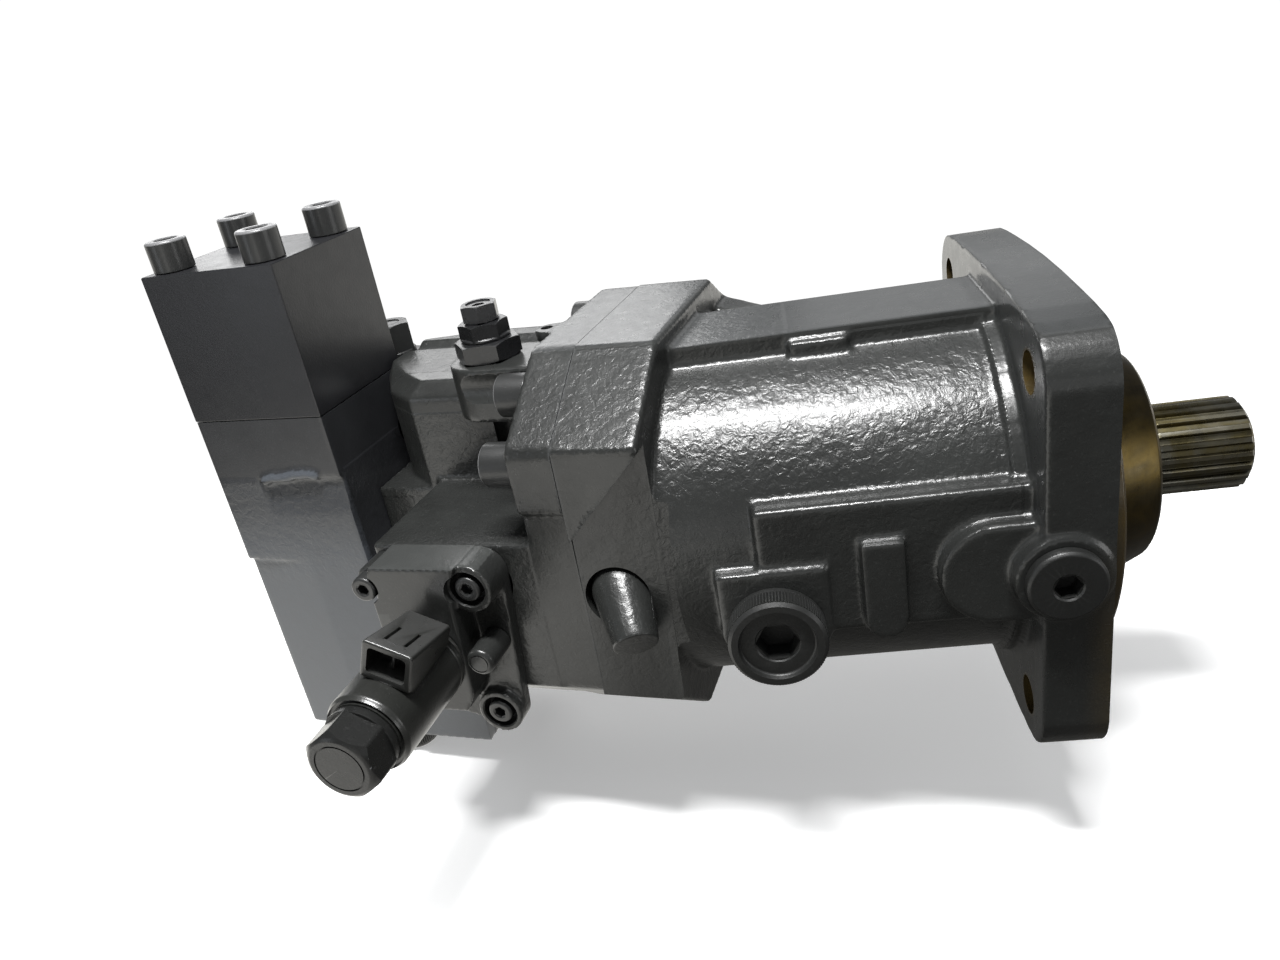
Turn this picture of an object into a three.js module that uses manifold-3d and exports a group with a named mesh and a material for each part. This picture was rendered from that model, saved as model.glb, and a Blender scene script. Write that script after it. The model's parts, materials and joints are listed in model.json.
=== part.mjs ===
// Bent-axis variable hydraulic motor with port plate, valve column and solenoid control.
// Units mm. +X along the shaft towards its end, +Y away from the control side, +Z up the valve column.
// Origin: centre of the mounting flange face on the shaft axis.
import * as THREE from 'three';
import * as BGU from 'three/addons/utils/BufferGeometryUtils.js';
import { ConvexGeometry } from 'three/addons/geometries/ConvexGeometry.js';
import Module from 'manifold-3d';

const wasm = await Module();
wasm.setup();

// ---------------------------------------------------------------- driving dimensions
const FINE = 0.72;               // share of the full segment count round each turned surface
const GAP = 0.3;                 // play between neighbouring pieces
const BEND = 12.5 * Math.PI / 180; // port plate normal against the shaft axis
const PIVOT_X = -110;            // swivel centre on the shaft axis
const FL_HALF = 103.7, FL_T = 27.5, FL_HOLE = 79.2, FL_HOLE_R = 9;  // mounting flange
const PILOT_R = 90, PILOT_H = 9;
const BARREL_R = 86.5;
const SEAM_U = -97, REAR_U = -57, PLATE_U = -120;   // rear flange and port plate flange
const SHAFT_END = 89.7, SPLINE_N = 21, SPLINE_R = 22.3, SPLINE_ROOT = 20.0, SPLINE_L = 46;
const PISTONS = 7, BALL_PCR = 43, BORE_PCR = 41, BALL_R = 11, PISTON_R = 12.4, BORE_R = 15.4;
const BLOCK_R = 61, BLOCK_A = 40, BLOCK_B = 108, LENS_R = 124;
const BLK_U0 = -331.6, BLK_U1 = -247.8, BLK_V0 = -53, BLK_V1 = 28.6, BLK_W0 = 71.2, BLK_W1 = 152.9; // port block
const PORT_V = -12, PORT_WA = 20, PORT_WB = 112, PORT_A = 27.8, PORT_B = 57.2; // service ports, flange thread pattern
const COL_W0 = -140;             // bottom of the valve column
const CT_V = -96.5, CT_F = -120;   // control valve mounting and front planes
const SOL_U = -172.5, SOL_W = -27.5, COIL_R = 20.4, COIL_V = -180, SOL_TURN = 22 * Math.PI / 180; // solenoid axis
const SCREW_R = 8, HEAD_R = 10.5, HEAD_H = 16; // M14-size socket heads

// ---------------------------------------------------------------- helpers
const V3 = (x, y, z) => new THREE.Vector3(x, y, z);
function M(geo) {                        // three geometry -> manifold
  const g = geo.index ? geo.clone() : geo.clone();
  g.deleteAttribute('normal'); g.deleteAttribute('uv');
  const m = BGU.mergeVertices(g, 1e-4);
  return new wasm.Manifold(new wasm.Mesh({ numProp: 3, vertProperties: new Float32Array(m.attributes.position.array), triVerts: new Uint32Array(m.index.array) }));
}
function G(man) {                        // manifold -> three geometry
  const m = man.getMesh();
  const g = new THREE.BufferGeometry();
  const p = new Float32Array(m.numVert * 3);
  for (let i = 0; i < m.numVert; i++) for (let k = 0; k < 3; k++) p[i * 3 + k] = m.vertProperties[i * m.numProp + k];
  g.setAttribute('position', new THREE.BufferAttribute(p, 3));
  g.setIndex(new THREE.BufferAttribute(new Uint32Array(m.triVerts), 1));
  const n = g.toNonIndexed(); n.computeVertexNormals(); return n;
}
const add = (a, ...r) => r.reduce((x, y) => x.add(y), a);
const sub = (a, ...r) => r.reduce((x, y) => x.subtract(y), a);
const box = (x0, x1, y0, y1, z0, z1) => new THREE.BoxGeometry(x1 - x0, y1 - y0, z1 - z0).translate((x0 + x1) / 2, (y0 + y1) / 2, (z0 + z1) / 2);
const mbox = (...a) => M(box(...a));
// solid of revolution about an axis: profile [[radius, position]...] along +axis
function lathe(profile, n0 = 32, axis = 'x', off = [0, 0, 0]) {
  const n = Math.max(8, Math.round(n0 * FINE / 2) * 2);
  const pts = profile.map(([r, t]) => new THREE.Vector2(r, t));
  const g = new THREE.LatheGeometry(pts, n);   // about Y
  if (axis === 'x') g.rotateZ(-Math.PI / 2);
  if (axis === 'z') g.rotateX(Math.PI / 2);
  g.translate(...off);
  return fixOut(g);
}
function fixOut(g) {                     // make the faces point outward
  g.deleteAttribute('normal'); g.deleteAttribute('uv');
  let m = BGU.mergeVertices(g, 1e-4);
  const p = m.attributes.position, id = m.index.array, keep = [];
  let vol = 0; const a = V3(), b = V3(), c = V3();
  for (let i = 0; i < id.length; i += 3) {
    if (id[i] === id[i + 1] || id[i + 1] === id[i + 2] || id[i] === id[i + 2]) continue;
    a.fromBufferAttribute(p, id[i]); b.fromBufferAttribute(p, id[i + 1]); c.fromBufferAttribute(p, id[i + 2]);
    vol += a.dot(b.clone().cross(c)); keep.push(id[i], id[i + 1], id[i + 2]);
  }
  if (vol < 0) for (let i = 0; i < keep.length; i += 3) { const t = keep[i]; keep[i] = keep[i + 1]; keep[i + 1] = t; }
  m.setIndex(keep); return m;
}
const cyl = (r, t0, t1, n = 28, axis = 'x', off = [0, 0, 0]) => lathe([[0, t0], [r, t0], [r, t1], [0, t1]], n, axis, off);
const mcyl = (...a) => M(cyl(...a));
// prism: polygon in two axes, extruded along the third. plane: 'vw' along u(x), 'uw' along v(y), 'uv' along w(z)
function prism(poly, t0, t1, plane, bevel = 0) {
  const s = new THREE.Shape(poly.map(([a, b]) => new THREE.Vector2(a, b)));
  const g = new THREE.ExtrudeGeometry(s, { depth: t1 - t0, bevelEnabled: false, curveSegments: 8 });
  g.translate(0, 0, t0);
  const m = new THREE.Matrix4();
  if (plane === 'vw') m.set(0, 0, 1, 0, 1, 0, 0, 0, 0, 1, 0, 0, 0, 0, 0, 1);
  if (plane === 'uw') m.set(1, 0, 0, 0, 0, 0, 1, 0, 0, 1, 0, 0, 0, 0, 0, 1);
  g.applyMatrix4(m);
  return fixOut(g);
}
const mprism = (...a) => M(prism(...a));
const ngon = (r, n, cx = 0, cy = 0, ph = 0) => Array.from({ length: n }, (_, i) => [cx + r * Math.cos(ph + 2 * Math.PI * i / n), cy + r * Math.sin(ph + 2 * Math.PI * i / n)]);
const hexR = af => af / Math.sqrt(3);
function arc(cx, cy, r, a0, a1, n) { const o = []; for (let i = 0; i <= n; i++) { const a = (a0 + (a1 - a0) * i / n) * Math.PI / 180; o.push([cx + r * Math.cos(a), cy + r * Math.sin(a)]); } return o; }
const hull = pts => fixOut(new ConvexGeometry(pts.map(p => V3(...p))));
// rear-frame (u,v,w) placement into the object frame
const REAR = new THREE.Matrix4().makeRotationZ(-BEND).setPosition(PIVOT_X, 0, 0);
const toObj = g => g.clone().applyMatrix4(REAR);
const L = geo => M(fixOut(toObj(geo)));            // rear-frame geometry as manifold in the object frame
const uvw = (u, v, w) => V3(u, v, w).applyMatrix4(REAR);
// cylinder between two points
function rod(a, b, r, n = 20) {
  const A = V3(...a), B = V3(...b), d = B.clone().sub(A), len = d.length();
  const g = cyl(r, 0, len, n, 'y');
  g.applyQuaternion(new THREE.Quaternion().setFromUnitVectors(V3(0, 1, 0), d.normalize()));
  g.translate(A.x, A.y, A.z);
  return fixOut(g);
}
// cap screw along an axis direction: head outward, shank inward, hex socket in the head
function capScrew(r, hr, hh, len, axis = 'y', dir = -1, sock = 0.5, n = 14) {
  let s = M(fixOut(new THREE.LatheGeometry([[0, -len], [r - 0.8, -len], [r, -len + 0.8], [r, 0], [hr, 0], [hr, hh - 0.8], [hr - 0.8, hh], [0, hh]].map(p => new THREE.Vector2(...p)), n)));
  const af = hr * 1.0, h = ngon(hexR(af), 6);
  const sh = new THREE.ExtrudeGeometry(new THREE.Shape(h.map(p => new THREE.Vector2(...p))), { depth: hh * sock + 1, bevelEnabled: false });
  sh.rotateX(-Math.PI / 2); sh.translate(0, hh * (1 - sock), 0);
  s = s.subtract(M(fixOut(sh)));
  const g = fixOut(G(s));
  const q = { x: V3(dir, 0, 0), y: V3(0, dir, 0), z: V3(0, 0, dir) }[axis];
  g.applyQuaternion(new THREE.Quaternion().setFromUnitVectors(V3(0, 1, 0), q));
  return g;
}

// round-bottomed seat for a ball, opening towards -X
const socket = (r, x, y, z) => lathe([[0, x - 6], [r, x - 6], ...arc(0, 0, r, 0, 66, 3).map(([c, t]) => [c, x + t]), [0, x + r]], 17, 'x', [0, y, z]);

const mats = {
  paint: [0x474b48, 0.38, 0.0], satin: [0x3a3c3e, 0.45, 0.0], steel: [0x6d6a62, 0.35, 1.0], dark: [0x2c2d2e, 0.5, 0.6],
  bronze: [0x8a6a3a, 0.4, 1.0], coil: [0x3b3d3c, 0.5, 0.0], rubber: [0x161616, 0.8, 0.0], oily: [0x5a4a30, 0.35, 0.8], iron: [0x55534f, 0.5, 0.8],
};
const group = new THREE.Group();
group.name = 'hydraulic_motor';
const rear = new THREE.Group();
rear.name = 'rear_frame';
rear.position.set(PIVOT_X, 0, 0);
rear.rotation.z = -BEND;
group.add(rear);
function put(parent, name, geo, mat, pos) {
  const g0 = geo.getMesh ? G(geo) : fixOut(geo.clone());
  const g = g0.index ? g0.toNonIndexed() : g0; g.computeVertexNormals();
  const [c, r, m] = mats[mat];
  const mesh = new THREE.Mesh(g, new THREE.MeshStandardMaterial({ color: c, roughness: r, metalness: m }));
  mesh.name = name;
  if (pos) mesh.position.set(...pos);
  parent.add(mesh);
  return mesh;
}

// ---------------------------------------------------------------- drive housing
const octTop = [[-100, 69], [-51, 100], [51, 100], [100, 69]];
const rearOct = [...octTop, [100, -62], [62, -97], [-58, -97], [-100, -62]];
const boltVW = [[-86.5, 57], [-58, 80], [46, 84], [82, 62], [78, -66], [-66, -72]];  // port plate screws (v,w)
{
    const q = FL_HALF;
  // square flange with slightly bowed edges and rounded corners
  const side = [[0, 1.0], [-0.5, 0.985], [-0.8, 0.965], [-0.9, 0.93], [-0.96, 0.87]];
  const quad = side.map(([y, z]) => [y * q, z * q]);
  const ring4 = [];
  for (const [y, z] of quad) ring4.push([y, z]);                       // top left
  ring4.push([-q, 0.78 * q], [-q, -0.78 * q]);
  for (const [y, z] of [...quad].reverse()) ring4.push([y, -z]);       // bottom left
  for (const [y, z] of quad.slice(1)) ring4.push([-y, -z]);            // bottom right
  ring4.push([q, -0.78 * q], [q, 0.78 * q]);
  for (const [y, z] of [...quad].reverse().slice(0, -1)) ring4.push([-y, z]);
  const flange = mprism(ring4, -FL_T, 0, 'vw');
  const pilot = M(lathe([[0, -2], [PILOT_R, -2], [PILOT_R, PILOT_H - 1], [PILOT_R - 1, PILOT_H], [0, PILOT_H]], 50));
  let barrel = mcyl(BARREL_R, -240, -20, 50);
  const pad = mbox(-200, -20, -27, 27, 60, 92);
  const ledge = mbox(-143, -20, -90, -50, -28, 35);
  const padStep = mbox(-119, -92, -31, 0, 60, 88);
  const collar = mcyl(89.5, -34, -20, 50);
  let body = add(barrel, pad, padStep, collar, ledge);
  body = body.subtract(L(box(-400, REAR_U - 3, -300, 300, -300, 300)));
  const rearFl = L(prism(rearOct, SEAM_U, REAR_U, 'vw'));
  // bulge on the far side where the cylinder block swings out
  const bp = [];
  for (let a = -66; a <= 66; a += 22) bp.push([-96, 84 * Math.cos(a * Math.PI / 180), 84 * Math.sin(a * Math.PI / 180)]);
  for (const [v, w] of [[50, 84], [74, 84], [100, 69], [100, -62], [74, -84], [50, -84]]) { const p = uvw(REAR_U - 1, v, w); bp.push([p.x, p.y, p.z]); }
  const bulge = M(hull(bp));
  // front recess and gusset of the rear flange
  const recess = L(prism([[-92.5, 21], [-56.9, 66.5], [-54, 66.5], [-54, -120], [-99, -120], [-99, 21]], -110, -96.5, 'uw'));
  // drain boss, rib, pill boss, slanted drilling boss
  const boss = M(prism([[-162, 7], [-162, -22], ...arc(-138, -22, 24.5, 180, 360, 10), [-113.5, 7]], -93, -40, 'uw'));
  const rib = M(prism([[-99, 17], [-99, -22], ...arc(-90, -22, 9, 180, 360, 6), [-81, 17]], -95, -60, 'uw'));
  const pill = M(prism([[-20, -25.5], [-20, 21.5], [-44, 21.5], ...arc(-44, -2, 23.5, 90, 270, 12), [-44, -25.5]], -98, -50, 'uw'));
  const disc = mcyl(19.5, 95, 106, 28, 'y', [0, 0, 0]);
  const discY = M(fixOut(cyl(19.5, -106, -90, 28, 'y', [-20.2, 0, -2])));
  let h = add(flange, pilot, body, rearFl, bulge).subtract(recess);
  const slant = L(rod([-88, -78, 2], [-69, -112, -24.5], 11, 20));
  const cup = L(rod([-80.6, -90, -8], [-80.6, -99, -8], 15, 24));
  h = add(h.subtract(cup), slant, boss, rib, pill, discY);
  // bores
  const bore = M(lathe([[0, 12], [34, 12], [34, -5], [46, -5], [46, -40], [44, -40], [44, -46], [58, -46], [58, -84], [74, -88], [76, -92], [76, -150], [0, -150]].map(([r, t]) => [r, t]), 40));
  const nearR = 63.2, ring = (u, c0, r) => { const o = []; for (let i = 0; i < 16; i++) { const a = 2 * Math.PI * i / 16 + Math.PI / 16; const k = Math.cos(a), s = Math.sin(a); o.push([u, Math.sign(k) * c0 + r * k, r * s]); } return o; };
  const cavPts = [...ring(-22, 6, nearR), ...ring(-125, 28.8, nearR)].map(p => { const q = uvw(...p); return [q.x, q.y, q.z]; });
  const cav = M(hull(cavPts));
  h = sub(h, bore, cav);
  for (const y of [-1, 1]) for (const z of [-1, 1]) h = h.subtract(mcyl(FL_HOLE_R, -FL_T - 5, 5, 22, 'x', [0, y * FL_HOLE, z * FL_HOLE]));
  // plug seats
  h = h.subtract(M(fixOut(cyl(16.5, -100, -40, 24, 'y', [-138, 0, -22]))));
  h = h.subtract(M(fixOut(cyl(11.5, -110, -72, 24, 'y', [-20.2, 0, -2]))));
  // port plate screw threads
  for (const [v, w] of boltVW) h = h.subtract(L(cyl(SCREW_R, SEAM_U - 1, SEAM_U + 26, 14, 'x', [0, v, w])));
  put(group, 'drive_housing', h, 'paint');
}

// ---------------------------------------------------------------- port plate (rear frame)
{
  const off = SEAM_U - GAP;
  const pOct = [...octTop, [100, -62], [62, -97], [-58, -97], [-96.5, -62], [-96.5, 37], [-100, 37]];
  let p = mprism(pOct, PLATE_U, off, 'vw');
  // body behind the flange: upper core and the lower control side
  const low = mprism([[-60, 19.5], [74, 19.5], [74, -80], [60, -92], [-62, -92], [-96.5, -62], [-96.5, 19.5]], -206, PLATE_U + 1, 'vw');
  const ring3 = (d, w) => [[-119, -25 + d], [-212 + d, -25 + d], [-232 + d, -10 + d], [-247.5 + d * 0.2, 14 + d], [-247.5 + d * 0.2, 66 - d], [-206 + d, 76 - d], [-119, 76 - d]].map(([x, y]) => [x, y, w]);
  const core = add(low, M(hull([...ring3(0, 10), ...ring3(0, 68), ...ring3(7, 76)])));
  const bridge = mprism([[14, 15], [56, 15], [66, 5], [66, -60], [56, -70], [-16, -70], [-25, -60], [-25, 15]], -247.5, -205, 'vw');
  const sboss = M(prism([...arc(-155, -27, 21, 90, 270, 12), [-119, -48], [-119, -6]], 62, 90, 'uv'));
  const lug = M(prism([[-119, -27], [-119, -9], [-127, -11], [-131, -18], [-127, -25]], 94, 100, 'uv'));
  p = add(p, core, bridge, sboss, lug);
  p = p.subtract(M(cyl(3.2, 90, 104, 14, 'z', [-125, -18, 0])));
  // recess for the block and the cylindrical slide for the lens
  const ring = (u, c0, r) => { const o = []; for (let i = 0; i < 16; i++) { const a = 2 * Math.PI * i / 16 + Math.PI / 16; const k = Math.cos(a), s = Math.sin(a); o.push([u, Math.sign(k) * c0 + r * k, r * s]); } return o; };
  p = p.subtract(M(hull([...ring(-90, 19.9, 63.2), ...ring(-112, 24.4, 63.2)])));
  const slide = [[-95, -80], ...arc(0, 0, LENS_R + GAP + 0.35, 180 + 36, 180 - 36, 22), [-95, 80]];
  p = p.subtract(M(prism(slide, -52.5, 52.5, 'uv')));
  // positioning cylinder and the window for its pin
  p = p.subtract(M(fixOut(cyl(17, -98, 62, 32, 'y', [-150, 0, 0]))));
  p = p.subtract(mbox(-150, -118, -35, 35, -7, 7));
  // setting screw bore, plug seats, main flow bores to the valve column
  p = p.subtract(M(cyl(9.2, 40, 92, 20, 'z', [-155, -27, 0])));
  for (const w of [-36, 36]) p = p.subtract(M(fixOut(cyl(12, -250, -118, 24, 'x', [0, 22, w]))));
  for (const [v, w] of boltVW) p = p.subtract(M(cyl(SCREW_R + 0.5, PLATE_U - 3, SEAM_U + 3, 16, 'x', [0, v, w])));
  for (const [v, w] of boltVW) p = p.subtract(M(cyl(HEAD_R + 2.0, -250, PLATE_U, 18, 'x', [0, v, w])));
  for (const [u, w] of [[-200, 8], [-146, 7], [-152, -71], [-200, -60]]) p = p.subtract(M(fixOut(cyl(4, -97.5, -74, 14, 'y', [u, 0, w]))));
  put(rear, 'port_plate', p, 'paint');
  boltVW.forEach(([v, w], i) => put(rear, `port_plate_screw_${i + 1}`, capScrew(SCREW_R - GAP - 0.3, HEAD_R, HEAD_H, 44, 'x', -1, 0.5, 12), 'paint', [PLATE_U - GAP, v, w]));
}

// ---------------------------------------------------------------- setting screw on the port plate
{
  const c = [-155, -27];
  const base = sub(add(M(prism(ngon(hexR(30), 6, c[0], c[1], 0.2), 90 + GAP, 100, 'uv')), M(cyl(8.8, 62, 90 + GAP + 1, 20, 'z', [c[0], c[1], 0]))), M(cyl(5.3, 60, 104, 18, 'z', [c[0], c[1], 0])));
  put(rear, 'setting_screw_base', base, 'dark');
  const nut = sub(add(M(prism(ngon(hexR(22), 6, c[0], c[1], 0.5), 100 + GAP, 109, 'uv')), M(cyl(11.5, 100 + GAP, 102, 24, 'z', [c[0], c[1], 0]))), M(cyl(5.3, 96, 114, 18, 'z', [c[0], c[1], 0])));
  put(rear, 'setting_screw_nut', nut, 'dark');
  // cap nut with its seal: a second hexagon over the threaded end
  let stud = add(M(cyl(5, 66, 112, 18, 'z', [c[0], c[1], 0])), M(prism(ngon(hexR(17), 6, c[0], c[1], 0.9), 109 + GAP, 118, 'uv')));
  stud = stud.subtract(M(prism(ngon(hexR(6), 6, c[0], c[1], 0.3), 113, 120, 'uv')));
  put(rear, 'setting_screw_stud', stud, 'dark');
}

// ---------------------------------------------------------------- valve column and port block (rear frame)
const portCut = (m, w) => {
  let o = m.subtract(M(cyl(12.7, BLK_U0 - 6, -290, 22, 'x', [0, PORT_V, w])));
  for (const a of [-1, 1]) for (const b of [-1, 1]) o = o.subtract(M(cyl(5.1, BLK_U0 - 6, BLK_U0 + 20, 11, 'x', [0, PORT_V + a * PORT_A / 2, w + b * PORT_B / 2])));
  return o;
};
const blkScrew = [[-319, -40.5], [-260.5, -40.5], [-260.5, 16], [-319, 16]];
{
  let c = mprism([[BLK_U0, BLK_V0], [BLK_U1, BLK_V0], [BLK_U1, 62], [BLK_U1 - 30, 70], [BLK_U0 + 20, 60], [BLK_U0, 36]], COL_W0, BLK_W0 - GAP, 'uv');
  // undercut below the machined band, running out towards the bottom
  c = c.subtract(M(hull([[-303, BLK_V0 - 1, 38], [-303, BLK_V0 + 3, 38], [-236, BLK_V0 - 1, 38], [-236, BLK_V0 + 3, 38], [-303, BLK_V0 - 1, 4], [-236, BLK_V0 - 1, 4]].map(q => q))));
  // shallow facet of the lower face
  c = c.subtract(mprism([[BLK_U0 - 3, BLK_V0 - 3], [-288, BLK_V0 - 3], [-288, BLK_V0], [BLK_U0 - 3, BLK_V0 + 3.4]], -144, -17, 'uv'));
  const foot = mprism([[-200, BLK_V0 - 2], [-200, 34], [-250, 34], [-250, BLK_V0 - 2]], COL_W0, -94, 'uv');
  c = add(c, foot);
  // spool bore (open under the port block), flow ways to the port plate, screw threads
  c = c.subtract(M(cyl(15, -100, 80, 28, 'z', [-290, -12, 0])));
  for (const w of [-36, 36]) c = c.subtract(M(fixOut(cyl(12, -296, -240, 24, 'x', [0, 22, w]))));
  for (const w of [-36, 36]) c = c.subtract(mbox(-294, -282, -12, 22, w - 8, w + 8));
  for (const [u, v] of blkScrew) c = c.subtract(M(cyl(7.2, BLK_W0 - 34, BLK_W0 + 2, 18, 'z', [u, v, 0])));
  c = c.subtract(M(cyl(8.6, 50, 75, 18, 'z', [-255.5 - 6, 47, 0])));
  c = c.subtract(M(cyl(8.6, -144, -118, 18, 'z', [-265, -37, 0])));
  c = portCut(c, PORT_WA);
  put(rear, 'valve_column', c, 'paint');

  let b = mbox(BLK_U0, BLK_U1, BLK_V0, BLK_V1, BLK_W0, BLK_W1);
  for (const [u, v] of blkScrew) b = b.subtract(M(cyl(7.4, BLK_W0 - 2, BLK_W1 + 2, 18, 'z', [u, v, 0])));
  // upper service port with its flange threads, and the joining way down to the spool
  b = b.subtract(M(cyl(12, BLK_W0 - 2, PORT_WB + 4, 20, 'z', [-290, PORT_V, 0])));
  b = portCut(b, PORT_WB);
  put(rear, 'port_block', b, 'satin');
  blkScrew.forEach(([u, v], i) => put(rear, `port_block_screw_${i + 1}`, capScrew(6.9, HEAD_R, HEAD_H, BLK_W1 - BLK_W0 + 28, 'z', 1, 0.45, 12), 'satin', [u, v, BLK_W1 + GAP]));
  const hp = add(M(prism(ngon(hexR(24), 6, -261.5, 47, 0.1), BLK_W0 + 3, BLK_W0 + 20, 'uv')), M(cyl(13.4, BLK_W0, BLK_W0 + 3.2, 24, 'z', [-261.5, 47, 0])), M(cyl(8.2, 54, BLK_W0 + 1, 18, 'z', [-261.5, 47, 0])));
  put(rear, 'hex_plug', hp, 'paint');
  const bpl = sub(add(M(cyl(13.5, COL_W0 - 17, COL_W0 - GAP, 24, 'z', [-265, -37, 0])), M(cyl(8.2, COL_W0 - 1, -122, 18, 'z', [-265, -37, 0]))), M(prism(ngon(hexR(12), 6, -265, -37), COL_W0 - 19, COL_W0 - 8, 'uv')));
  put(rear, 'bottom_plug', bpl, 'dark');
  const sp = M(lathe([[0, -82], [14.5, -82], [14.5, -52], [9, -50], [9, -24], [14.5, -22], [14.5, 20], [9, 22], [9, 48], [14.5, 50], [14.5, 60], [0, 60]], 28, 'z', [-290, -12, 0]));
  put(rear, 'counterbalance_spool', sp, 'steel');
}

// ---------------------------------------------------------------- control valve and solenoid (rear frame)
{
  const b1 = [-146, 7], b2 = [-152, -71], b3 = [-200, 8], b4 = [-200, -60];
  const basePts = [];
  for (const [c, r] of [[b1, 12.5], [b2, 12], [b3, 8], [b4, 9]]) for (const [x, z] of ngon(r, 14, c[0], c[1], 0.22)) for (const v of [CT_V - GAP, -103]) basePts.push([x, v, z]);
  let k = M(hull(basePts));
  k = add(k, M(prism([[-197, -62], [-197, 12], [-194, 20], [-148, 20], [-154, 4], [-156, -52], [-162, -62]], CT_F, CT_V - GAP, 'uw')));
  k = add(k, ...[[b1, 12.5, -116, 22], [b2, 12, -108, 22], [b3, 8, -112, 16], [b4, 9, -108, 16]].map(([c, r, t, n]) => M(fixOut(cyl(r, t, CT_V - GAP, n, 'y', [c[0], 0, c[1]])))));
  // spool bore, screw ways
  k = k.subtract(M(fixOut(cyl(8, -125, -94, 20, 'y', [SOL_U, 0, SOL_W]))));
  const seat = [[b1, -108, 9], [b2, -100, 9], [b3, -112, 0], [b4, -100, 8]];
  for (const [c, s, r] of seat) {
    k = k.subtract(M(fixOut(cyl(4.4, -130, -90, 14, 'y', [c[0], 0, c[1]]))));
    if (r) k = k.subtract(M(fixOut(cyl(r, -130, s, 20, 'y', [c[0], 0, c[1]]))));
    else k = k.subtract(M(fixOut(cyl(8.4, -130, s, 20, 'y', [c[0], 0, c[1]]))));
  }
  k = k.subtract(M(fixOut(cyl(5.3, -130, -98.5, 16, 'y', [-145, 0, -29]))));
  put(rear, 'control_housing', k, 'paint');
  seat.forEach(([c, s], i) => put(rear, `control_screw_${i + 1}`, capScrew(3.7, 6.5, 8, -s - 76, 'y', -1, 0.5, 12), 'paint', [c[0], s - GAP, c[1]]));
  put(rear, 'control_pin', M(lathe([[0, -124], [5.5, -124], [7, -122.5], [7, -103.3], [5, -103.3], [5, -98.8], [0, -98.8]], 20, 'y', [-145, 0, -29])), 'paint');
  // pressure tube, coil with plug socket, nut
  const tube = sub(M(lathe([[0, CT_F - GAP], [17, CT_F - GAP], [17, CT_F - 3.5], [10.5, CT_F - 3.5], [10.5, -193], [0, -193]], 28, 'y', [SOL_U, 0, SOL_W])), M(fixOut(cyl(7.4, -178, -110, 20, 'y', [SOL_U, 0, SOL_W]))));
  put(rear, 'solenoid_tube', tube, 'steel');
  const about = (g, a = SOL_TURN) => { const q = g.clone(); q.translate(-SOL_U, 0, -SOL_W); q.rotateY(a); q.translate(SOL_U, 0, SOL_W); return M(fixOut(q)); };
  let coil = M(lathe([[0, -124], [COIL_R - 1, -124], [COIL_R, -125], [COIL_R, COIL_V + 1.2], [COIL_R - 1.2, COIL_V], [0, COIL_V]], 36, 'y', [SOL_U, 0, SOL_W]));
  // wedge-shaped plug housing beside the coil, opening along -v
  const wedge = hull([[-11, -127, 12], [11, -127, 12], [-11, -127, 28.7], [11, -127, 28.7], [-12, -160, 14], [12, -160, 14], [-12, -167, 20], [12, -167, 20], [-12, -167, 40.6], [12, -167, 40.6]].map(([t, v, r]) => [SOL_U + t, v, SOL_W + r]));
  coil = coil.add(about(wedge));
  coil = coil.subtract(about(hull([[-10, -168, 22.6], [10, -168, 22.6], [-10, -168, 38.4], [10, -168, 38.4], [-9.6, -153, 22.6], [9.6, -153, 22.6], [-9.6, -153, 34.2], [9.6, -153, 34.2]].map(([t, v, r]) => [SOL_U + t, v, SOL_W + r]))));
  for (const s of [-1, 1]) coil = coil.add(about(box(SOL_U + s * 5 - 1.2, SOL_U + s * 5 + 1.2, -157, -151, SOL_W + 28, SOL_W + 30.2)));
  coil = coil.subtract(M(lathe([[17.6, -182], [19.2, -182], [19.2, -178], [17.6, -178], [17.6, -182]], 36, 'y', [SOL_U, 0, SOL_W])));
  coil = coil.subtract(M(fixOut(cyl(11, -184, -120, 28, 'y', [SOL_U, 0, SOL_W]))));
  put(rear, 'solenoid_coil', coil, 'coil');
  // cap nut: hexagon on a round collar
  let nut = M(lathe([[0, -184.5], [17.4, -184.5], [17.4, COIL_V - GAP], [0, COIL_V - GAP]], 32, 'y', [SOL_U, 0, SOL_W]));
  nut = nut.add(M(prism(ngon(18.2, 6, SOL_U, SOL_W, 35 * Math.PI / 180), -200, -184, 'uw')).intersect(M(lathe([[0, -200.4], [14.6, -200.4], [18.6, -196.5], [18.6, -183.5], [0, -183.5]], 24, 'y', [SOL_U, 0, SOL_W]))));
  nut = nut.subtract(M(fixOut(cyl(11, -195, -175, 24, 'y', [SOL_U, 0, SOL_W]))));
  put(rear, 'solenoid_nut', nut, 'coil');
  put(rear, 'control_spool', M(lathe([[0, -172], [7, -172], [7, -126], [3, -124], [3, -118], [7, -116], [7, -106], [4.5, -105], [4.5, -100], [7, -99], [7, -97], [0, -97]], 20, 'y', [SOL_U, 0, SOL_W])), 'steel');
}

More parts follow.
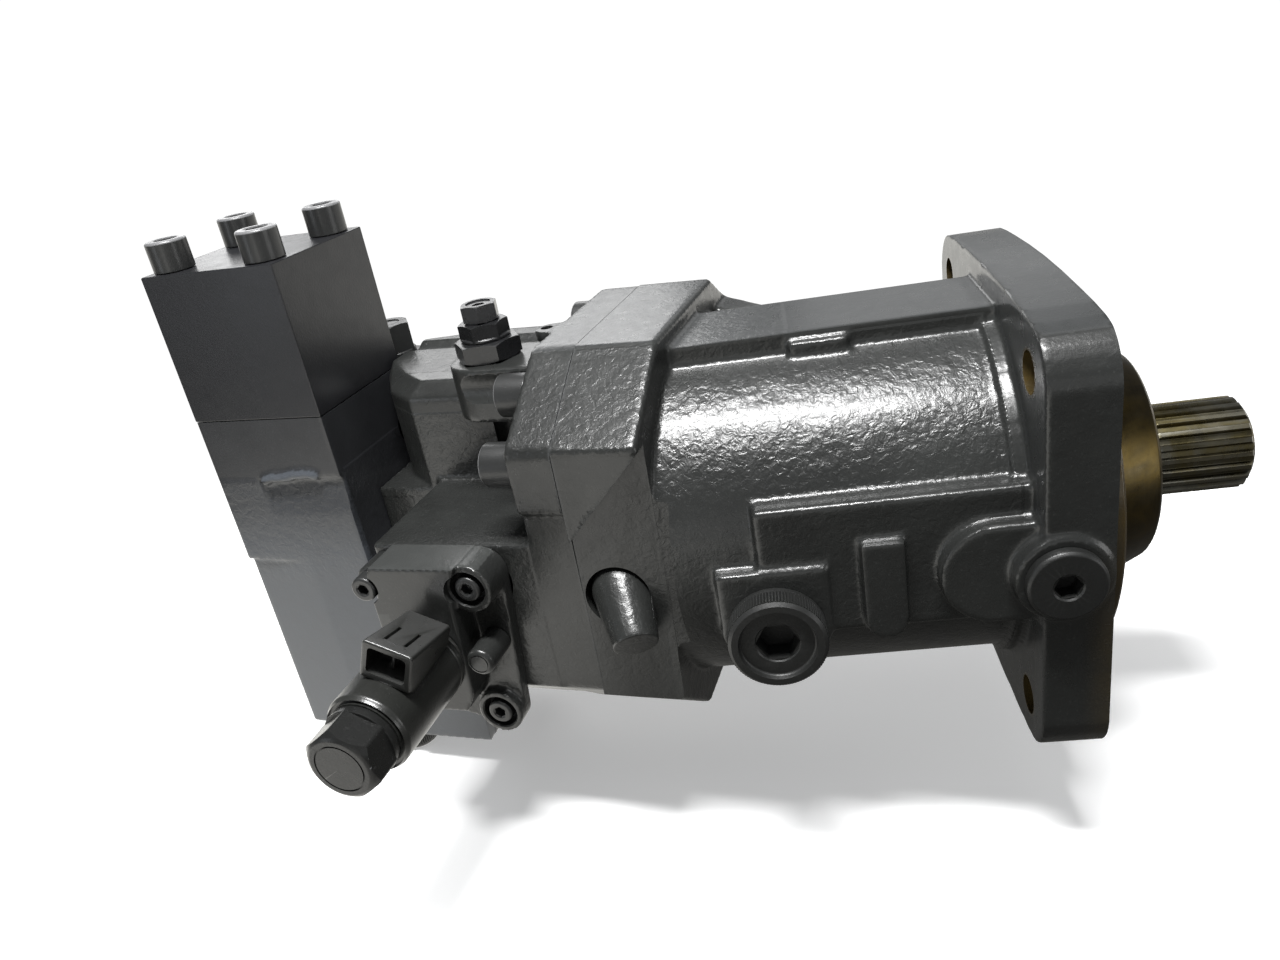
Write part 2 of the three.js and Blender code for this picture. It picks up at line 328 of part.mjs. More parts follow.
// ---------------------------------------------------------------- plugs in the housing
{
  const p1 = sub(add(M(fixOut(cyl(22, -106, -93 - GAP, 40, 'y', [-138, 0, -22]))), M(fixOut(cyl(16, -94, -76, 24, 'y', [-138, 0, -22])))), M(fixOut(cyl(17, -110, -103.5, 28, 'y', [-138, 0, -22]))), M(prism(ngon(hexR(17), 6, -138, -22), -110, -92, 'uw')));
  put(group, 'drain_plug_rear', p1, 'dark');
  const p2 = sub(add(M(fixOut(cyl(16, -111.5, -106 - GAP, 32, 'y', [-20.2, 0, -2]))), M(fixOut(cyl(11, -107, -88, 20, 'y', [-20.2, 0, -2])))), M(prism(ngon(hexR(10), 6, -20.2, -2), -113, -103, 'uw')));
  put(group, 'drain_plug_front', p2, 'dark');
}

// ---------------------------------------------------------------- shaft, bearings, seal
{
  const spl = [];
  for (let i = 0; i < SPLINE_N; i++) {
    const a = 2 * Math.PI * i / SPLINE_N, s = 2 * Math.PI / SPLINE_N;
    for (const [f, r] of [[-0.30, SPLINE_ROOT], [-0.17, SPLINE_R], [0.17, SPLINE_R], [0.30, SPLINE_ROOT]]) spl.push([r * Math.cos(a + f * s), r * Math.sin(a + f * s)]);
  }
  let s = M(prism(spl, SHAFT_END - SPLINE_L, SHAFT_END - 1.5, 'vw'));
  s = add(s, M(lathe([[0, 80], [20.6, 80], [20.6, SHAFT_END - 1.6], [18.8, SHAFT_END], [0, SHAFT_END]], 28)));
  s = add(s, M(lathe([[0, 45.5], [23, 45.5], [24, 43], [24, 4], [27, 2], [27, -42], [33, -43], [33, -84], [58, -86], [60, -88], [60, -111], [0, -111]], 36)));
  s = s.subtract(M(fixOut(cyl(5, 70, 95, 16, 'x'))));
  for (let i = 0; i < PISTONS; i++) {
    const a = 2 * Math.PI * (i + 0.5) / PISTONS, y = BALL_PCR * Math.cos(a), z = BALL_PCR * Math.sin(a);
    s = s.subtract(M(socket(BALL_R + 0.9, PIVOT_X, y, z)));
  }
  s = s.subtract(M(socket(9.8, PIVOT_X, 0, 0)));
  put(group, 'drive_shaft', s, 'steel');
  let rp = mcyl(59, PIVOT_X - 5.0, PIVOT_X - 1.3, 40, 'x');
  for (let i = 0; i < PISTONS; i++) {
    const a = 2 * Math.PI * (i + 0.5) / PISTONS;
    rp = rp.subtract(M(lathe([[0, PIVOT_X - 6], [10.2, PIVOT_X - 6], [11.8, PIVOT_X], [0, PIVOT_X]], 22, 'x', [0, BALL_PCR * Math.cos(a), BALL_PCR * Math.sin(a)])));
  }
  rp = rp.subtract(mcyl(9.9, PIVOT_X - 6, PIVOT_X, 22, 'x'));
  put(group, 'retaining_plate', rp, 'iron');
  // tapered roller bearings: cup in the housing, cone with its rollers on the shaft
  put(group, 'front_bearing_cup', lathe([[45.7, -8], [45.7, -38], [38, -38], [41, -8], [45.7, -8]], 40), 'steel');
  put(group, 'front_bearing_cone', lathe([[27.4, -6], [27.4, -40], [36, -40], [39.4, -8], [36, -6], [27.4, -6]], 40), 'steel');
  put(group, 'rear_bearing_cup', lathe([[57.7, -49], [57.7, -82], [51.5, -82], [46.5, -49], [57.7, -49]], 40), 'steel');
  put(group, 'rear_bearing_cone', lathe([[33.5, -46], [33.5, -83], [49.8, -83], [45.4, -48], [41, -46], [33.5, -46]], 44), 'steel');
  put(group, 'seal_cover', lathe([[29.5, PILOT_H + GAP], [62, PILOT_H + GAP], [61, 14], [51, 35], [48.5, 38], [29.5, 38], [29.5, PILOT_H + GAP]], 48), 'oily');
  put(group, 'shaft_seal', lathe([[24.4, 24], [29.2, 24], [29.2, 37], [26, 37], [24.4, 34], [24.4, 24]], 36), 'rubber');
}

// ---------------------------------------------------------------- rotary group (rear frame, mid swivel)
{
  let b = M(lathe([[0, -BLOCK_B], [46, -BLOCK_B], [46, -BLOCK_B + 8], [BLOCK_R, -BLOCK_B + 14], [BLOCK_R, -BLOCK_A - 2], [BLOCK_R - 2, -BLOCK_A], [0, -BLOCK_A]], 40));
  for (let i = 0; i < PISTONS; i++) {
    const a = 2 * Math.PI * (i + 0.5) / PISTONS, y = BORE_PCR * Math.cos(a), z = BORE_PCR * Math.sin(a);
    b = b.subtract(mcyl(BORE_R, -BLOCK_B + 10, -BLOCK_A + 5, 17, 'x', [0, y, z]));
    b = b.subtract(mcyl(4.5, -BLOCK_B - 2, -BLOCK_B + 12, 10, 'x', [0, 34 * Math.cos(a), 34 * Math.sin(a)]));
  }
  b = b.subtract(mcyl(9.5, -BLOCK_B - 2, -BLOCK_A + 5, 24, 'x'));
  put(rear, 'cylinder_block', b, 'bronze');
  const pin = M(lathe([[0, -96], [8.5, -96], [9, -95], [9, -40], [6, -34], [6, -6.5], ...arc(0, 0, 9, 226, 360, 6).map(([x, y]) => [Math.abs(y) > 0 ? -y : 0, x]).filter(([r]) => r > 0.01), [0, 9]], 24));
  put(rear, 'centre_pin', pin, 'steel');
  let lens = M(prism([[-BLOCK_B - GAP, -36], ...arc(0, 0, LENS_R, 180 + 20.6, 180 - 20.6, 14), [-BLOCK_B - GAP, 36]], -50, 50, 'uv'));
  lens = lens.subtract(M(fixOut(cyl(8.5, -130, -112, 20, 'x', [0, 0, 0]))));
  for (const s of [-1, 1]) {
    const kp = [...arc(0, 0, 39, s > 0 ? 25 : 205, s > 0 ? 155 : 335, 10), ...arc(0, 0, 29, s > 0 ? 155 : 335, s > 0 ? 25 : 205, 10)].map(([a, c]) => [a, c]);
    lens = lens.subtract(M(prism(kp, -130, -100, 'vw')));
  }
  put(rear, 'control_lens', lens, 'iron');
  put(rear, 'positioning_piston', sub(M(lathe([[0, -34], [15.5, -34], [16.5, -33], [16.5, -12], [13, -11], [13, 11], [16.5, 12], [16.5, 33], [15.5, 34], [0, 34]], 28, 'y', [-150, 0, 0])), M(cyl(6.3, -155, -130, 18, 'x', [0, 0, 0]))), 'steel');
  put(rear, 'positioning_pin', M(lathe([[0, -154], [6, -154], [6, -127], [4.5, -124], [6.3, -120], [6.3, -117], [4.5, -115], [0, -115]], 18, 'x', [0, 0, 0])), 'steel');
  for (let i = 0; i < PISTONS; i++) {
    const a = 2 * Math.PI * (i + 0.5) / PISTONS;
    const c = V3(0, BALL_PCR * Math.cos(a), BALL_PCR * Math.sin(a));
    put(group, `piston_ball_${i + 1}`, new THREE.SphereGeometry(BALL_R, 12, 8), 'steel', [PIVOT_X, c.y, c.z]);
    // tapered piston in the rear-frame direction, placed at the ball centre
    const R = BALL_R + GAP;
    const prof = [...arc(0, 0, R, 180 - Math.asin(6 / R) * 180 / Math.PI, 180, 2).reverse().map(([x, y]) => [Math.max(0, y), x])];
    prof[0][0] = 0;
    const rodg = lathe([...prof, [6, -18], [10, -38], [10.4, -58], [PISTON_R, -60], [PISTON_R, -70], [PISTON_R - 1, -72], [0, -72]], 17);
    const holder = new THREE.Group();
    holder.name = `piston_seat_${i + 1}`;
    holder.position.copy(V3(PIVOT_X, c.y, c.z));
    holder.rotation.z = -BEND;
    group.add(holder);
    put(holder, `piston_rod_${i + 1}`, rodg, 'steel');
  }
}

export default group;
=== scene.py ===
import bpy, bmesh, math, json
import numpy as np
from mathutils import Matrix, Vector


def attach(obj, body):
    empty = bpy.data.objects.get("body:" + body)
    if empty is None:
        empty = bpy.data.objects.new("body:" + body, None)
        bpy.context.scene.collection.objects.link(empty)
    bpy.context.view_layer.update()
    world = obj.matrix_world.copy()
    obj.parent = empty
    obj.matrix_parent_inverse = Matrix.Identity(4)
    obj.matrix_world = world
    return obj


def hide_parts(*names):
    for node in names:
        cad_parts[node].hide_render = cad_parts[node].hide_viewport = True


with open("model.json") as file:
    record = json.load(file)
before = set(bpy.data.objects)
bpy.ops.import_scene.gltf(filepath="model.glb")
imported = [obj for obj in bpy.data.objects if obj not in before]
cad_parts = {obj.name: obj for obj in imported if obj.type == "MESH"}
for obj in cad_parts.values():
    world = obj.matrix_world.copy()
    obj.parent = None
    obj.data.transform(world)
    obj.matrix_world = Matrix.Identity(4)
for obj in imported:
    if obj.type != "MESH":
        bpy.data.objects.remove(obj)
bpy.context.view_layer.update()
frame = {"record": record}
BODY = {n: b for b, ns in frame["record"]["behaviour"]["bodies"].items() for n in ns}
SLOT = {s["node"]: s["material_slot"] for s in frame["record"]["subparts"]}
COL = bpy.context.scene.collection
BEND = math.radians(12.5)
REAR = Matrix.Translation((-0.110, 0, 0)) @ Matrix.Rotation(-BEND, 4, "Z")
REAR_INV = REAR.inverted()
pi, cos, sin = math.pi, math.cos, math.sin

# ------------------------------------------------------------------ mesh helpers (mm in, metres out)
def mk(vs, fs, rear=False):
    me = bpy.data.meshes.new("m")
    me.from_pydata([tuple(map(float, v)) for v in vs], [], fs)
    bm = bmesh.new(); bm.from_mesh(me)
    bmesh.ops.remove_doubles(bm, verts=bm.verts, dist=1e-4)
    bmesh.ops.recalc_face_normals(bm, faces=bm.faces)
    bm.to_mesh(me); bm.free()
    me.transform(Matrix.Scale(0.001, 4))
    if rear: me.transform(REAR)
    ob = bpy.data.objects.new("tool", me); COL.objects.link(ob)
    return ob

def drop(ob):
    me = ob.data; bpy.data.objects.remove(ob)
    if me.users == 0: bpy.data.meshes.remove(me)

def bake(ob):
    dg = bpy.context.evaluated_depsgraph_get()
    me = bpy.data.meshes.new_from_object(ob.evaluated_get(dg))
    ob.modifiers.clear(); old = ob.data; ob.data = me
    bpy.data.meshes.remove(old)
    return ob

def op(kind, a, *bs):
    for b in bs:
        n0 = len(a.data.polygons)
        v0 = len(a.data.vertices)
        m = a.modifiers.new("b", "BOOLEAN"); m.object = b; m.operation = kind; m.solver = "MANIFOLD"
        dg = bpy.context.evaluated_depsgraph_get()
        me = bpy.data.meshes.new_from_object(a.evaluated_get(dg))
        if len(me.polygons) == 0 or (len(me.polygons) == n0 and len(me.vertices) == v0):
            bpy.data.meshes.remove(me)
            m.solver = "EXACT"
            dg = bpy.context.evaluated_depsgraph_get()
            me = bpy.data.meshes.new_from_object(a.evaluated_get(dg))
        a.modifiers.clear(); old = a.data; a.data = me; bpy.data.meshes.remove(old)
        drop(b)
    return a
cut = lambda a, *b: op("DIFFERENCE", a, *b)
add = lambda a, *b: op("UNION", a, *b)
both = lambda a, *b: op("INTERSECT", a, *b)

def merge(a, *bs):                      # plain join, no boolean
    bm = bmesh.new(); bm.from_mesh(a.data)
    for b in bs:
        bm.from_mesh(b.data); drop(b)
    bm.to_mesh(a.data); bm.free()
    return a

def fil(p, d, n=3, closed=False):       # round the corners of a polyline
    out = []; N = len(p)
    for i in range(N):
        if not closed and i in (0, N - 1): out.append(tuple(p[i])); continue
        a, b, c = np.array(p[i - 1], float), np.array(p[i], float), np.array(p[(i + 1) % N], float)
        la, lc = np.linalg.norm(a - b), np.linalg.norm(c - b)
        if la < 1e-6 or lc < 1e-6: continue
        t = min(d, la * .45, lc * .45)
        q0, q1 = b + (a - b) / la * t, b + (c - b) / lc * t
        for k in range(n + 1):
            s = k / n
            out.append(tuple((1 - s) ** 2 * q0 + 2 * s * (1 - s) * b + s * s * q1))
    return out

def lathe(prof, n=64, axis="x", off=(0, 0, 0), rear=False, f=0.0):
    prof = [tuple(map(float, q)) for q in prof]
    closed = prof[0] == prof[-1]
    if closed: prof = prof[:-1]
    if f: prof = fil(prof, f, 3, closed)
    vs, rings = [], []
    for r, t in prof:
        if r < 1e-5:
            rings.append([len(vs)]); ring = [(0, 0, t)]
        else:
            rings.append(list(range(len(vs), len(vs) + n)))
            ring = [(r * cos(2 * pi * k / n), r * sin(2 * pi * k / n), t) for k in range(n)]
        for a, b, t_ in ring:
            vs.append({"x": (t_, a, b), "y": (a, t_, b), "z": (a, b, t_)}[axis])
    fs = []
    M_ = len(rings)
    for i in range(M_ if closed else M_ - 1):
        A, B = rings[i], rings[(i + 1) % M_]
        for k in range(n):
            k2 = (k + 1) % n
            if len(A) == 1 and len(B) == 1: continue
            if len(A) == 1: fs.append((A[0], B[k], B[k2]))
            elif len(B) == 1: fs.append((A[k], B[0], A[k2]))
            else: fs.append((A[k], B[k], B[k2], A[k2]))
    vs = [(x + off[0], y + off[1], z + off[2]) for x, y, z in vs]
    return mk(vs, fs, rear)

def cyl(r, t0, t1, n=64, axis="x", off=(0, 0, 0), rear=False, f=0.0):
    return lathe([(0, t0), (r, t0), (r, t1), (0, t1)], n, axis, off, rear, f)

def prism(poly, t0, t1, plane, rear=False, bev=0.0, seg=2):
    n = len(poly); put = {"vw": lambda a, b, t: (t, a, b), "uw": lambda a, b, t: (a, t, b), "uv": lambda a, b, t: (a, b, t)}[plane]
    vs = [put(a, b, t0) for a, b in poly] + [put(a, b, t1) for a, b in poly]
    fs = [tuple(range(n)), tuple(range(2 * n - 1, n - 1, -1))] + [(i, (i + 1) % n, n + (i + 1) % n, n + i) for i in range(n)]
    ob = mk(vs, fs, rear)
    if bev: bevel(ob, bev, seg)
    return ob

def bevel(ob, w, seg=2, ang=28):
    m = ob.modifiers.new("v", "BEVEL"); m.width = w * .001; m.segments = seg; m.limit_method = "ANGLE"; m.angle_limit = math.radians(ang)
    m.use_clamp_overlap = True
    return bake(ob)

def box(x0, x1, y0, y1, z0, z1, rear=False, bev=0.0):
    return prism([(x0, y0), (x1, y0), (x1, y1), (x0, y1)], z0, z1, "uv", rear, bev)

def hull(pts, rear=False, bev=0.0, seg=2):
    bm = bmesh.new()
    for p in pts: bm.verts.new(tuple(map(float, p)))
    r = bmesh.ops.convex_hull(bm, input=bm.verts)
    bmesh.ops.delete(bm, geom=[v for v in bm.verts if not v.link_faces], context="VERTS")
    bmesh.ops.dissolve_limit(bm, angle_limit=0.01, verts=bm.verts, edges=bm.edges)
    bmesh.ops.recalc_face_normals(bm, faces=bm.faces)
    me = bpy.data.meshes.new("m"); bm.to_mesh(me); bm.free()
    me.transform(Matrix.Scale(0.001, 4))
    if rear: me.transform(REAR)
    ob = bpy.data.objects.new("tool", me); COL.objects.link(ob)
    if bev: bevel(ob, bev, seg)
    return ob

def rod(a, b, r, n=48, rear=False):
    A, B = Vector(a), Vector(b); d = B - A
    ob = lathe([(0, 0), (r, 0), (r, d.length), (0, d.length)], n, "z", f=1.0)
    q = d.to_track_quat("Z", "Y").to_matrix().to_4x4()
    ob.data.transform(Matrix.Translation(A * .001) @ q)
    if rear: ob.data.transform(REAR)
    return ob

def arc(cx, cy, r, a0, a1, n): return [(cx + r * cos(math.radians(a0 + (a1 - a0) * i / n)), cy + r * sin(math.radians(a0 + (a1 - a0) * i / n))) for i in range(n + 1)]
def ngon(r, n, cx=0, cy=0, ph=0): return [(cx + r * cos(ph + 2 * pi * i / n), cy + r * sin(ph + 2 * pi * i / n)) for i in range(n)]
hexr = lambda af: af / math.sqrt(3)

def remesh(ob, vox, it, lim=None):
    m = ob.modifiers.new("r", "REMESH"); m.mode = "VOXEL"; m.voxel_size = vox * .001; m.adaptivity = 0
    s = ob.modifiers.new("s", "SMOOTH"); s.factor = 0.5; s.iterations = it
    bake(ob)
    tris = 2 * len(ob.data.polygons)
    if lim and tris > lim:
        d = ob.modifiers.new("d", "DECIMATE"); d.ratio = lim / tris; d.use_collapse_triangulate = True
        bake(ob)
    return ob

def hexpiece(af, t0, t1, axis, c, ph=0.0, ch=0.9, rear=True, ends=(1, 1)):
    """hexagon with turned 30 degree chamfers; c = centre in the plane of the hexagon"""
    R = hexr(af); r0 = af / 2 * 0.985; k = (R - r0) * math.tan(math.radians(30)) * ch
    plane = {"z": "uv", "y": "uw", "x": "vw"}[axis]
    off = {"z": (c[0], c[1], 0), "y": (c[0], 0, c[1]), "x": (0, c[0], c[1])}[axis]
    h = prism(ngon(R, 6, c[0], c[1], ph), t0, t1, plane, rear)
    p = [(0, t0)] + ([(r0, t0), (R + .05, t0 + k)] if ends[0] else [(R + .05, t0)]) + ([(R + .05, t1 - k), (r0, t1)] if ends[1] else [(R + .05, t1)]) + [(0, t1)]
    return both(h, lathe(p, 96, axis, off, rear))

def place(ob, pos, axis, d, rear=True):
    """a piece built along +Z is turned onto an axis and moved"""
    to = {"x": Vector((d, 0, 0)), "y": Vector((0, d, 0)), "z": Vector((0, 0, d))}[axis]
    q = Vector((0, 0, 1)).rotation_difference(to).to_matrix().to_4x4()
    M_ = Matrix.Translation(Vector(pos) * .001) @ q
    ob.data.transform((REAR @ M_) if rear else M_)
    return ob

def capscrew(r, hr, hh, length, pos, axis, d, rear=True, ph=0.2, knurl=0):
    s = lathe([(0, -length), (r - 1.0, -length), (r, -length + 1.0), (r, 0), (hr, 0), (hr, hh - 0.9), (hr - 0.9, hh), (0, hh)], 72, "z", f=0.55)
    af = hr * (1.02 if hr > 8 else .84)
    key = prism(ngon(hexr(af), 6, 0, 0, ph), hh * .42, hh + 2, "uv")
    lead = lathe([(0, hh - .9), (hexr(af) - .2, hh - .5), (hexr(af) + .75, hh + .2), (hexr(af) + .75, hh + 2), (0, hh + 2)], 48, "z")
    tip = lathe([(0, hh * .42 - 1.6), (af / 2 - .3, hh * .42 + .2), (0, hh * .42 + .2)], 24, "z")
    cut(s, key, lead, tip)
    return place(s, pos, axis, d, rear)

def thread(r, t0, t1, pitch, axis="z", off=(0, 0, 0), rear=True, n=40, core=True):
    """closed V-profile ridge rings standing for a fine thread"""
    p = [(0, t0), (r - pitch * .5, t0)]
    t = t0 + pitch * .25
    while t < t1 - pitch * .8:
        p += [(r - pitch * .5, t), (r, t + pitch * .42), (r, t + pitch * .52)]
        t += pitch
    p += [(r - pitch * .5, t1 - .01), (0, t1)]
    return lathe(p, n, axis, off, rear)

# ------------------------------------------------------------------ materials
def nodes_of(name):
    m = bpy.data.materials.new(name); m.use_nodes = True
    t = m.node_tree
    return m, t, t.nodes["Principled BSDF"]

class T:
    """short writer for node trees"""
    def __init__(s, t): s.t = t; s.tc = t.nodes.new("ShaderNodeTexCoord")
    def noise(s, scale, detail=3, rough=.55, dist=0.0, vec=None, w=None):
        n = s.t.nodes.new("ShaderNodeTexNoise"); n.inputs["Scale"].default_value = scale; n.inputs["Detail"].default_value = detail
        n.inputs["Roughness"].default_value = rough; n.inputs["Distortion"].default_value = dist
        s.t.links.new(vec or s.tc.outputs["Object"], n.inputs["Vector"]); return n.outputs["Fac"]
    def vor(s, scale, feat="F1", vec=None):
        n = s.t.nodes.new("ShaderNodeTexVoronoi"); n.feature = feat; n.inputs["Scale"].default_value = scale
        s.t.links.new(vec or s.tc.outputs["Object"], n.inputs["Vector"]); return n.outputs["Distance"]
    def mapv(s, scale=(1, 1, 1), rot=(0, 0, 0), loc=(0, 0, 0)):
        n = s.t.nodes.new("ShaderNodeMapping"); n.inputs["Scale"].default_value = scale; n.inputs["Rotation"].default_value = rot; n.inputs["Location"].default_value = loc
        s.t.links.new(s.tc.outputs["Object"], n.inputs["Vector"]); return n.outputs["Vector"]
    def attr(s, name):
        n = s.t.nodes.new("ShaderNodeAttribute"); n.attribute_name = name; return n.outputs["Fac"]
    def math(s, op_, a, b=None, clamp=False):
        n = s.t.nodes.new("ShaderNodeMath"); n.operation = op_; n.use_clamp = clamp
        for i, v in enumerate((a, b)):
            if v is None: continue
            if isinstance(v, (int, float)): n.inputs[i].default_value = v
            else: s.t.links.new(v, n.inputs[i])
        return n.outputs[0]
    def ramp(s, v, stops):
        n = s.t.nodes.new("ShaderNodeValToRGB"); e = n.color_ramp.elements
        for i, (p, c) in enumerate(stops):
            if i > 1: e.new(p)
            e[i].position = p; c = (c, c, c) if isinstance(c, (int, float)) else c; e[i].color = (*c, 1)
        s.t.links.new(v, n.inputs[0]); return n.outputs[0]
    def mix(s, f, a, b, mode="MIX"):
        n = s.t.nodes.new("ShaderNodeMix"); n.data_type = "RGBA"; n.blend_type = mode
        for k, v in ((0, f), (6, a), (7, b)):
            if isinstance(v, (int, float)): n.inputs[k].default_value = v
            elif isinstance(v, tuple): n.inputs[k].default_value = (*v, 1)
            else: s.t.links.new(v, n.inputs[k])
        return n.outputs[2]
    def bump(s, h, dist, strength=1.0, normal=None):
        n = s.t.nodes.new("ShaderNodeBump"); n.inputs["Distance"].default_value = dist; n.inputs["Strength"].default_value = strength
        s.t.links.new(h, n.inputs["Height"])
        if normal: s.t.links.new(normal, n.inputs["Normal"])
        return n.outputs[0]
    def geo(s, k):
        n = s.t.nodes.new("ShaderNodeNewGeometry"); return n.outputs[k]
    def to(s, v, sock): s.t.links.new(v, sock)

def paint(name, c0, c1, rough=.3, cast=.00028, cs=300, fine=.00006, oil=False, painted_light_and_chips=None, coat=.35, rv=.10, milled=0.0, ior=1.46, scratch=None):
    """glossy enamel. vertex masks: skin = cast skin, oil = amber oil film, and a third mask that holds painted
    highlights and painted bounce light in a lighter colour and also marks where paint chips to bright metal
    """
    m, t, b = nodes_of(name); w = T(t)
    big = w.noise(22, 4, .6)
    mid = w.noise(120, 3, .6, .4)
    colr = w.mix(w.ramp(big, [(.3, 0.0), (.7, 1.0)]), c0, c1)
    sp = w.noise(700, 2, .5)
    colr = w.mix(w.ramp(sp, [(.62, 0.0), (.78, .35)]), colr, tuple(min(1, x * 2.0 + .01) for x in c1))
    # painted highlights and painted bounce light: the colour is lightened where the mask is set
    if painted_light_and_chips:
        colr = w.mix(w.math("MULTIPLY", w.attr("painted_light_and_chips"), w.ramp(mid, [(.2, .75), (.8, 1.0)])), colr, painted_light_and_chips)
    # worn bright edges where the mesh is sharply convex
    wear = w.math("MULTIPLY", w.ramp(w.geo("Pointiness"), [(.60, 0.0), (.78, 1.0)]), w.ramp(w.noise(140, 4, .7), [(.42, 0.0), (.75, .42)]))
    colr = w.mix(wear, colr, (.060, .062, .062))
    if scratch:                          # paint chipped to bright metal where the tone mask allows it
        ch = w.math("MULTIPLY", w.math("MULTIPLY", w.attr("painted_light_and_chips"), 1.0, True), w.ramp(w.noise(260, 5, .7, 1.8), [(.66, 0.0), (.74, 1.0)]))
        colr = w.mix(ch, colr, scratch)
    rg = w.math("ADD", w.math("MULTIPLY", w.ramp(mid, [(.25, 0.0), (.8, 1.0)]), rv), rough)
    if oil:
        o = w.math("MULTIPLY", w.attr("oil"), w.ramp(w.noise(60, 4, .6, .6), [(.30, .55), (.62, 1.0)]))
        colr = w.mix(o, colr, (.062, .042, .013))
        rg = w.math("SUBTRACT", rg, w.math("MULTIPLY", o, .14))
    w.to(colr, b.inputs["Base Color"]); w.to(rg, b.inputs["Roughness"])
    skin = w.attr("skin")
    n1 = w.noise(cs, 3, .55, .8)
    n1b = w.noise(cs * .33, 2, .5, .3)
    h = w.math("MULTIPLY", w.math("ADD", w.math("MULTIPLY", n1, .62), w.math("MULTIPLY", n1b, .75)), skin)
    h2 = w.noise(850, 2, .5)
    nb = w.bump(h, cast)
    nb = w.bump(h2, fine, normal=nb)
    if milled:
        v = w.mapv((1, 1, 1))
        st = w.noise(1.0, 3, .6, 0, vec=w.mapv((60, 1100, 1100)))
        nb = w.bump(st, milled, normal=nb)
    w.to(nb, b.inputs["Normal"])
    b.inputs["Coat Weight"].default_value = coat; b.inputs["Coat Roughness"].default_value = .16
    b.inputs["IOR"].default_value = ior
    return m

def steel(name, c0, c1, rough=.3, metal=1.0, axis="x", stria=.00003, tint=None, dens=2600):
    m, t, b = nodes_of(name); w = T(t)
    sc = {"x": (40, dens * .1, dens * .1), "r": (dens, 30, 30), "n": (700, 700, 700)}[axis]
    st = w.noise(1.0, 3, .6, 0, vec=w.mapv(sc))
    big = w.noise(45, 4, .6, .5)
    colr = w.mix(w.ramp(big, [(.3, 0.0), (.72, 1.0)]), c0, c1)
    colr = w.mix(w.ramp(st, [(.35, 0.0), (.75, .35)]), colr, tuple(x * .55 for x in c0))
    if tint: colr = w.mix(w.ramp(w.noise(28, 4, .65, 1.2), [(.42, 0.0), (.62, .85)]), colr, tint)
    wear = w.ramp(w.geo("Pointiness"), [(.54, 0.0), (.62, .7)])
    colr = w.mix(wear, colr, tuple(min(1, x * 1.7 + .05) for x in c1))
    rg = w.math("ADD", w.math("MULTIPLY", w.ramp(w.noise(160, 4, .6), [(.25, 0.0), (.8, 1.0)]), .16), rough)
    w.to(colr, b.inputs["Base Color"]); w.to(rg, b.inputs["Roughness"])
    b.inputs["Metallic"].default_value = metal
    w.to(w.bump(st, stria), b.inputs["Normal"])
    return m

GREY0, GREY1 = (.013, .0135, .013), (.021, .022, .021)
MAT = {
    "housing_paint": paint("housing_enamel", GREY0, GREY1, .25, .00085, 285, oil=True, coat=.12, painted_light_and_chips=(.050, .052, .053)),
    "port_plate_paint": paint("port_plate_enamel", GREY0, GREY1, .26, .0008, 290, coat=.12, painted_light_and_chips=(.050, .052, .053)),
    "column_paint": paint("column_enamel", (.013, .0135, .015), (.021, .022, .024), .34, .0009, 260, coat=.1, painted_light_and_chips=(.064, .071, .082), milled=.00003),
    "block_paint": paint("block_enamel", (.0095, .0098, .011), (.0115, .0118, .0135), .31, .0002, 300, coat=.08, painted_light_and_chips=(.05, .055, .065), milled=.00003),
    "control_paint": paint("control_enamel", GREY0, (.022, .023, .022), .27, .0007, 280, coat=.12, painted_light_and_chips=(.060, .063, .061)),
    "painted_screw": paint("screw_enamel", (.015, .0155, .0155), (.022, .0225, .022), .30, .00015, 420, coat=.12, painted_light_and_chips=(.20, .20, .205)),
    "plug_paint": paint("plug_enamel", (.007, .0074, .007), (.010, .0104, .010), .42, .00012, 450, coat=.08),
    "coil_paint": paint("coil_enamel", (.012, .0125, .0115), (.018, .0185, .017), .26, .00018, 380, coat=.15, painted_light_and_chips=(.12, .12, .12)),
    "nut": paint("cap_nut_enamel", (.008, .0083, .008), (.012, .0122, .0118), .22, .00022, 360, coat=0.0, ior=1.36, scratch=(.32, .32, .34)),
    "black_oxide": paint("stack_enamel", (.008, .0082, .0088), (.012, .0122, .013), .24, .0001, 450, coat=.15),
    "shaft_steel": steel("spline_steel", (.10, .094, .072), (.19, .182, .15), .22, tint=(.115, .095, .040), stria=.00004),
    "oily_steel": steel("oily_cover_steel", (.038, .031, .018), (.075, .058, .028), .25, axis="r", tint=(.085, .060, .019)),
    "ground_steel": steel("ground_steel", (.40, .40, .39), (.52, .52, .50), .24),
    "bare_iron": steel("machined_iron", (.15, .15, .145), (.22, .215, .21), .42, axis="n"),
    "bronze": steel("turned_bronze", (.42, .27, .11), (.55, .37, .17), .28, axis="r"),
}
def rubber():
    m, t, b = nodes_of("seal_rubber"); w = T(t)
    c = w.mix(w.noise(160, 4), (.012, .012, .012), (.03, .03, .029)); w.to(c, b.inputs["Base Color"])
    w.to(w.math("ADD", w.math("MULTIPLY", w.noise(400, 3), .2), .5), b.inputs["Roughness"])
    w.to(w.bump(w.noise(900, 2), .00004), b.inputs["Normal"]); return m
MAT["seal_rubber"] = rubber()

def coords(ob, rear=True):
    me = ob.data; co = np.empty(len(me.vertices) * 3); me.vertices.foreach_get("co", co); co = co.reshape(-1, 3)
    if rear:
        R = np.array(REAR_INV); co = co @ R[:3, :3].T + R[:3, 3]
    return co * 1000

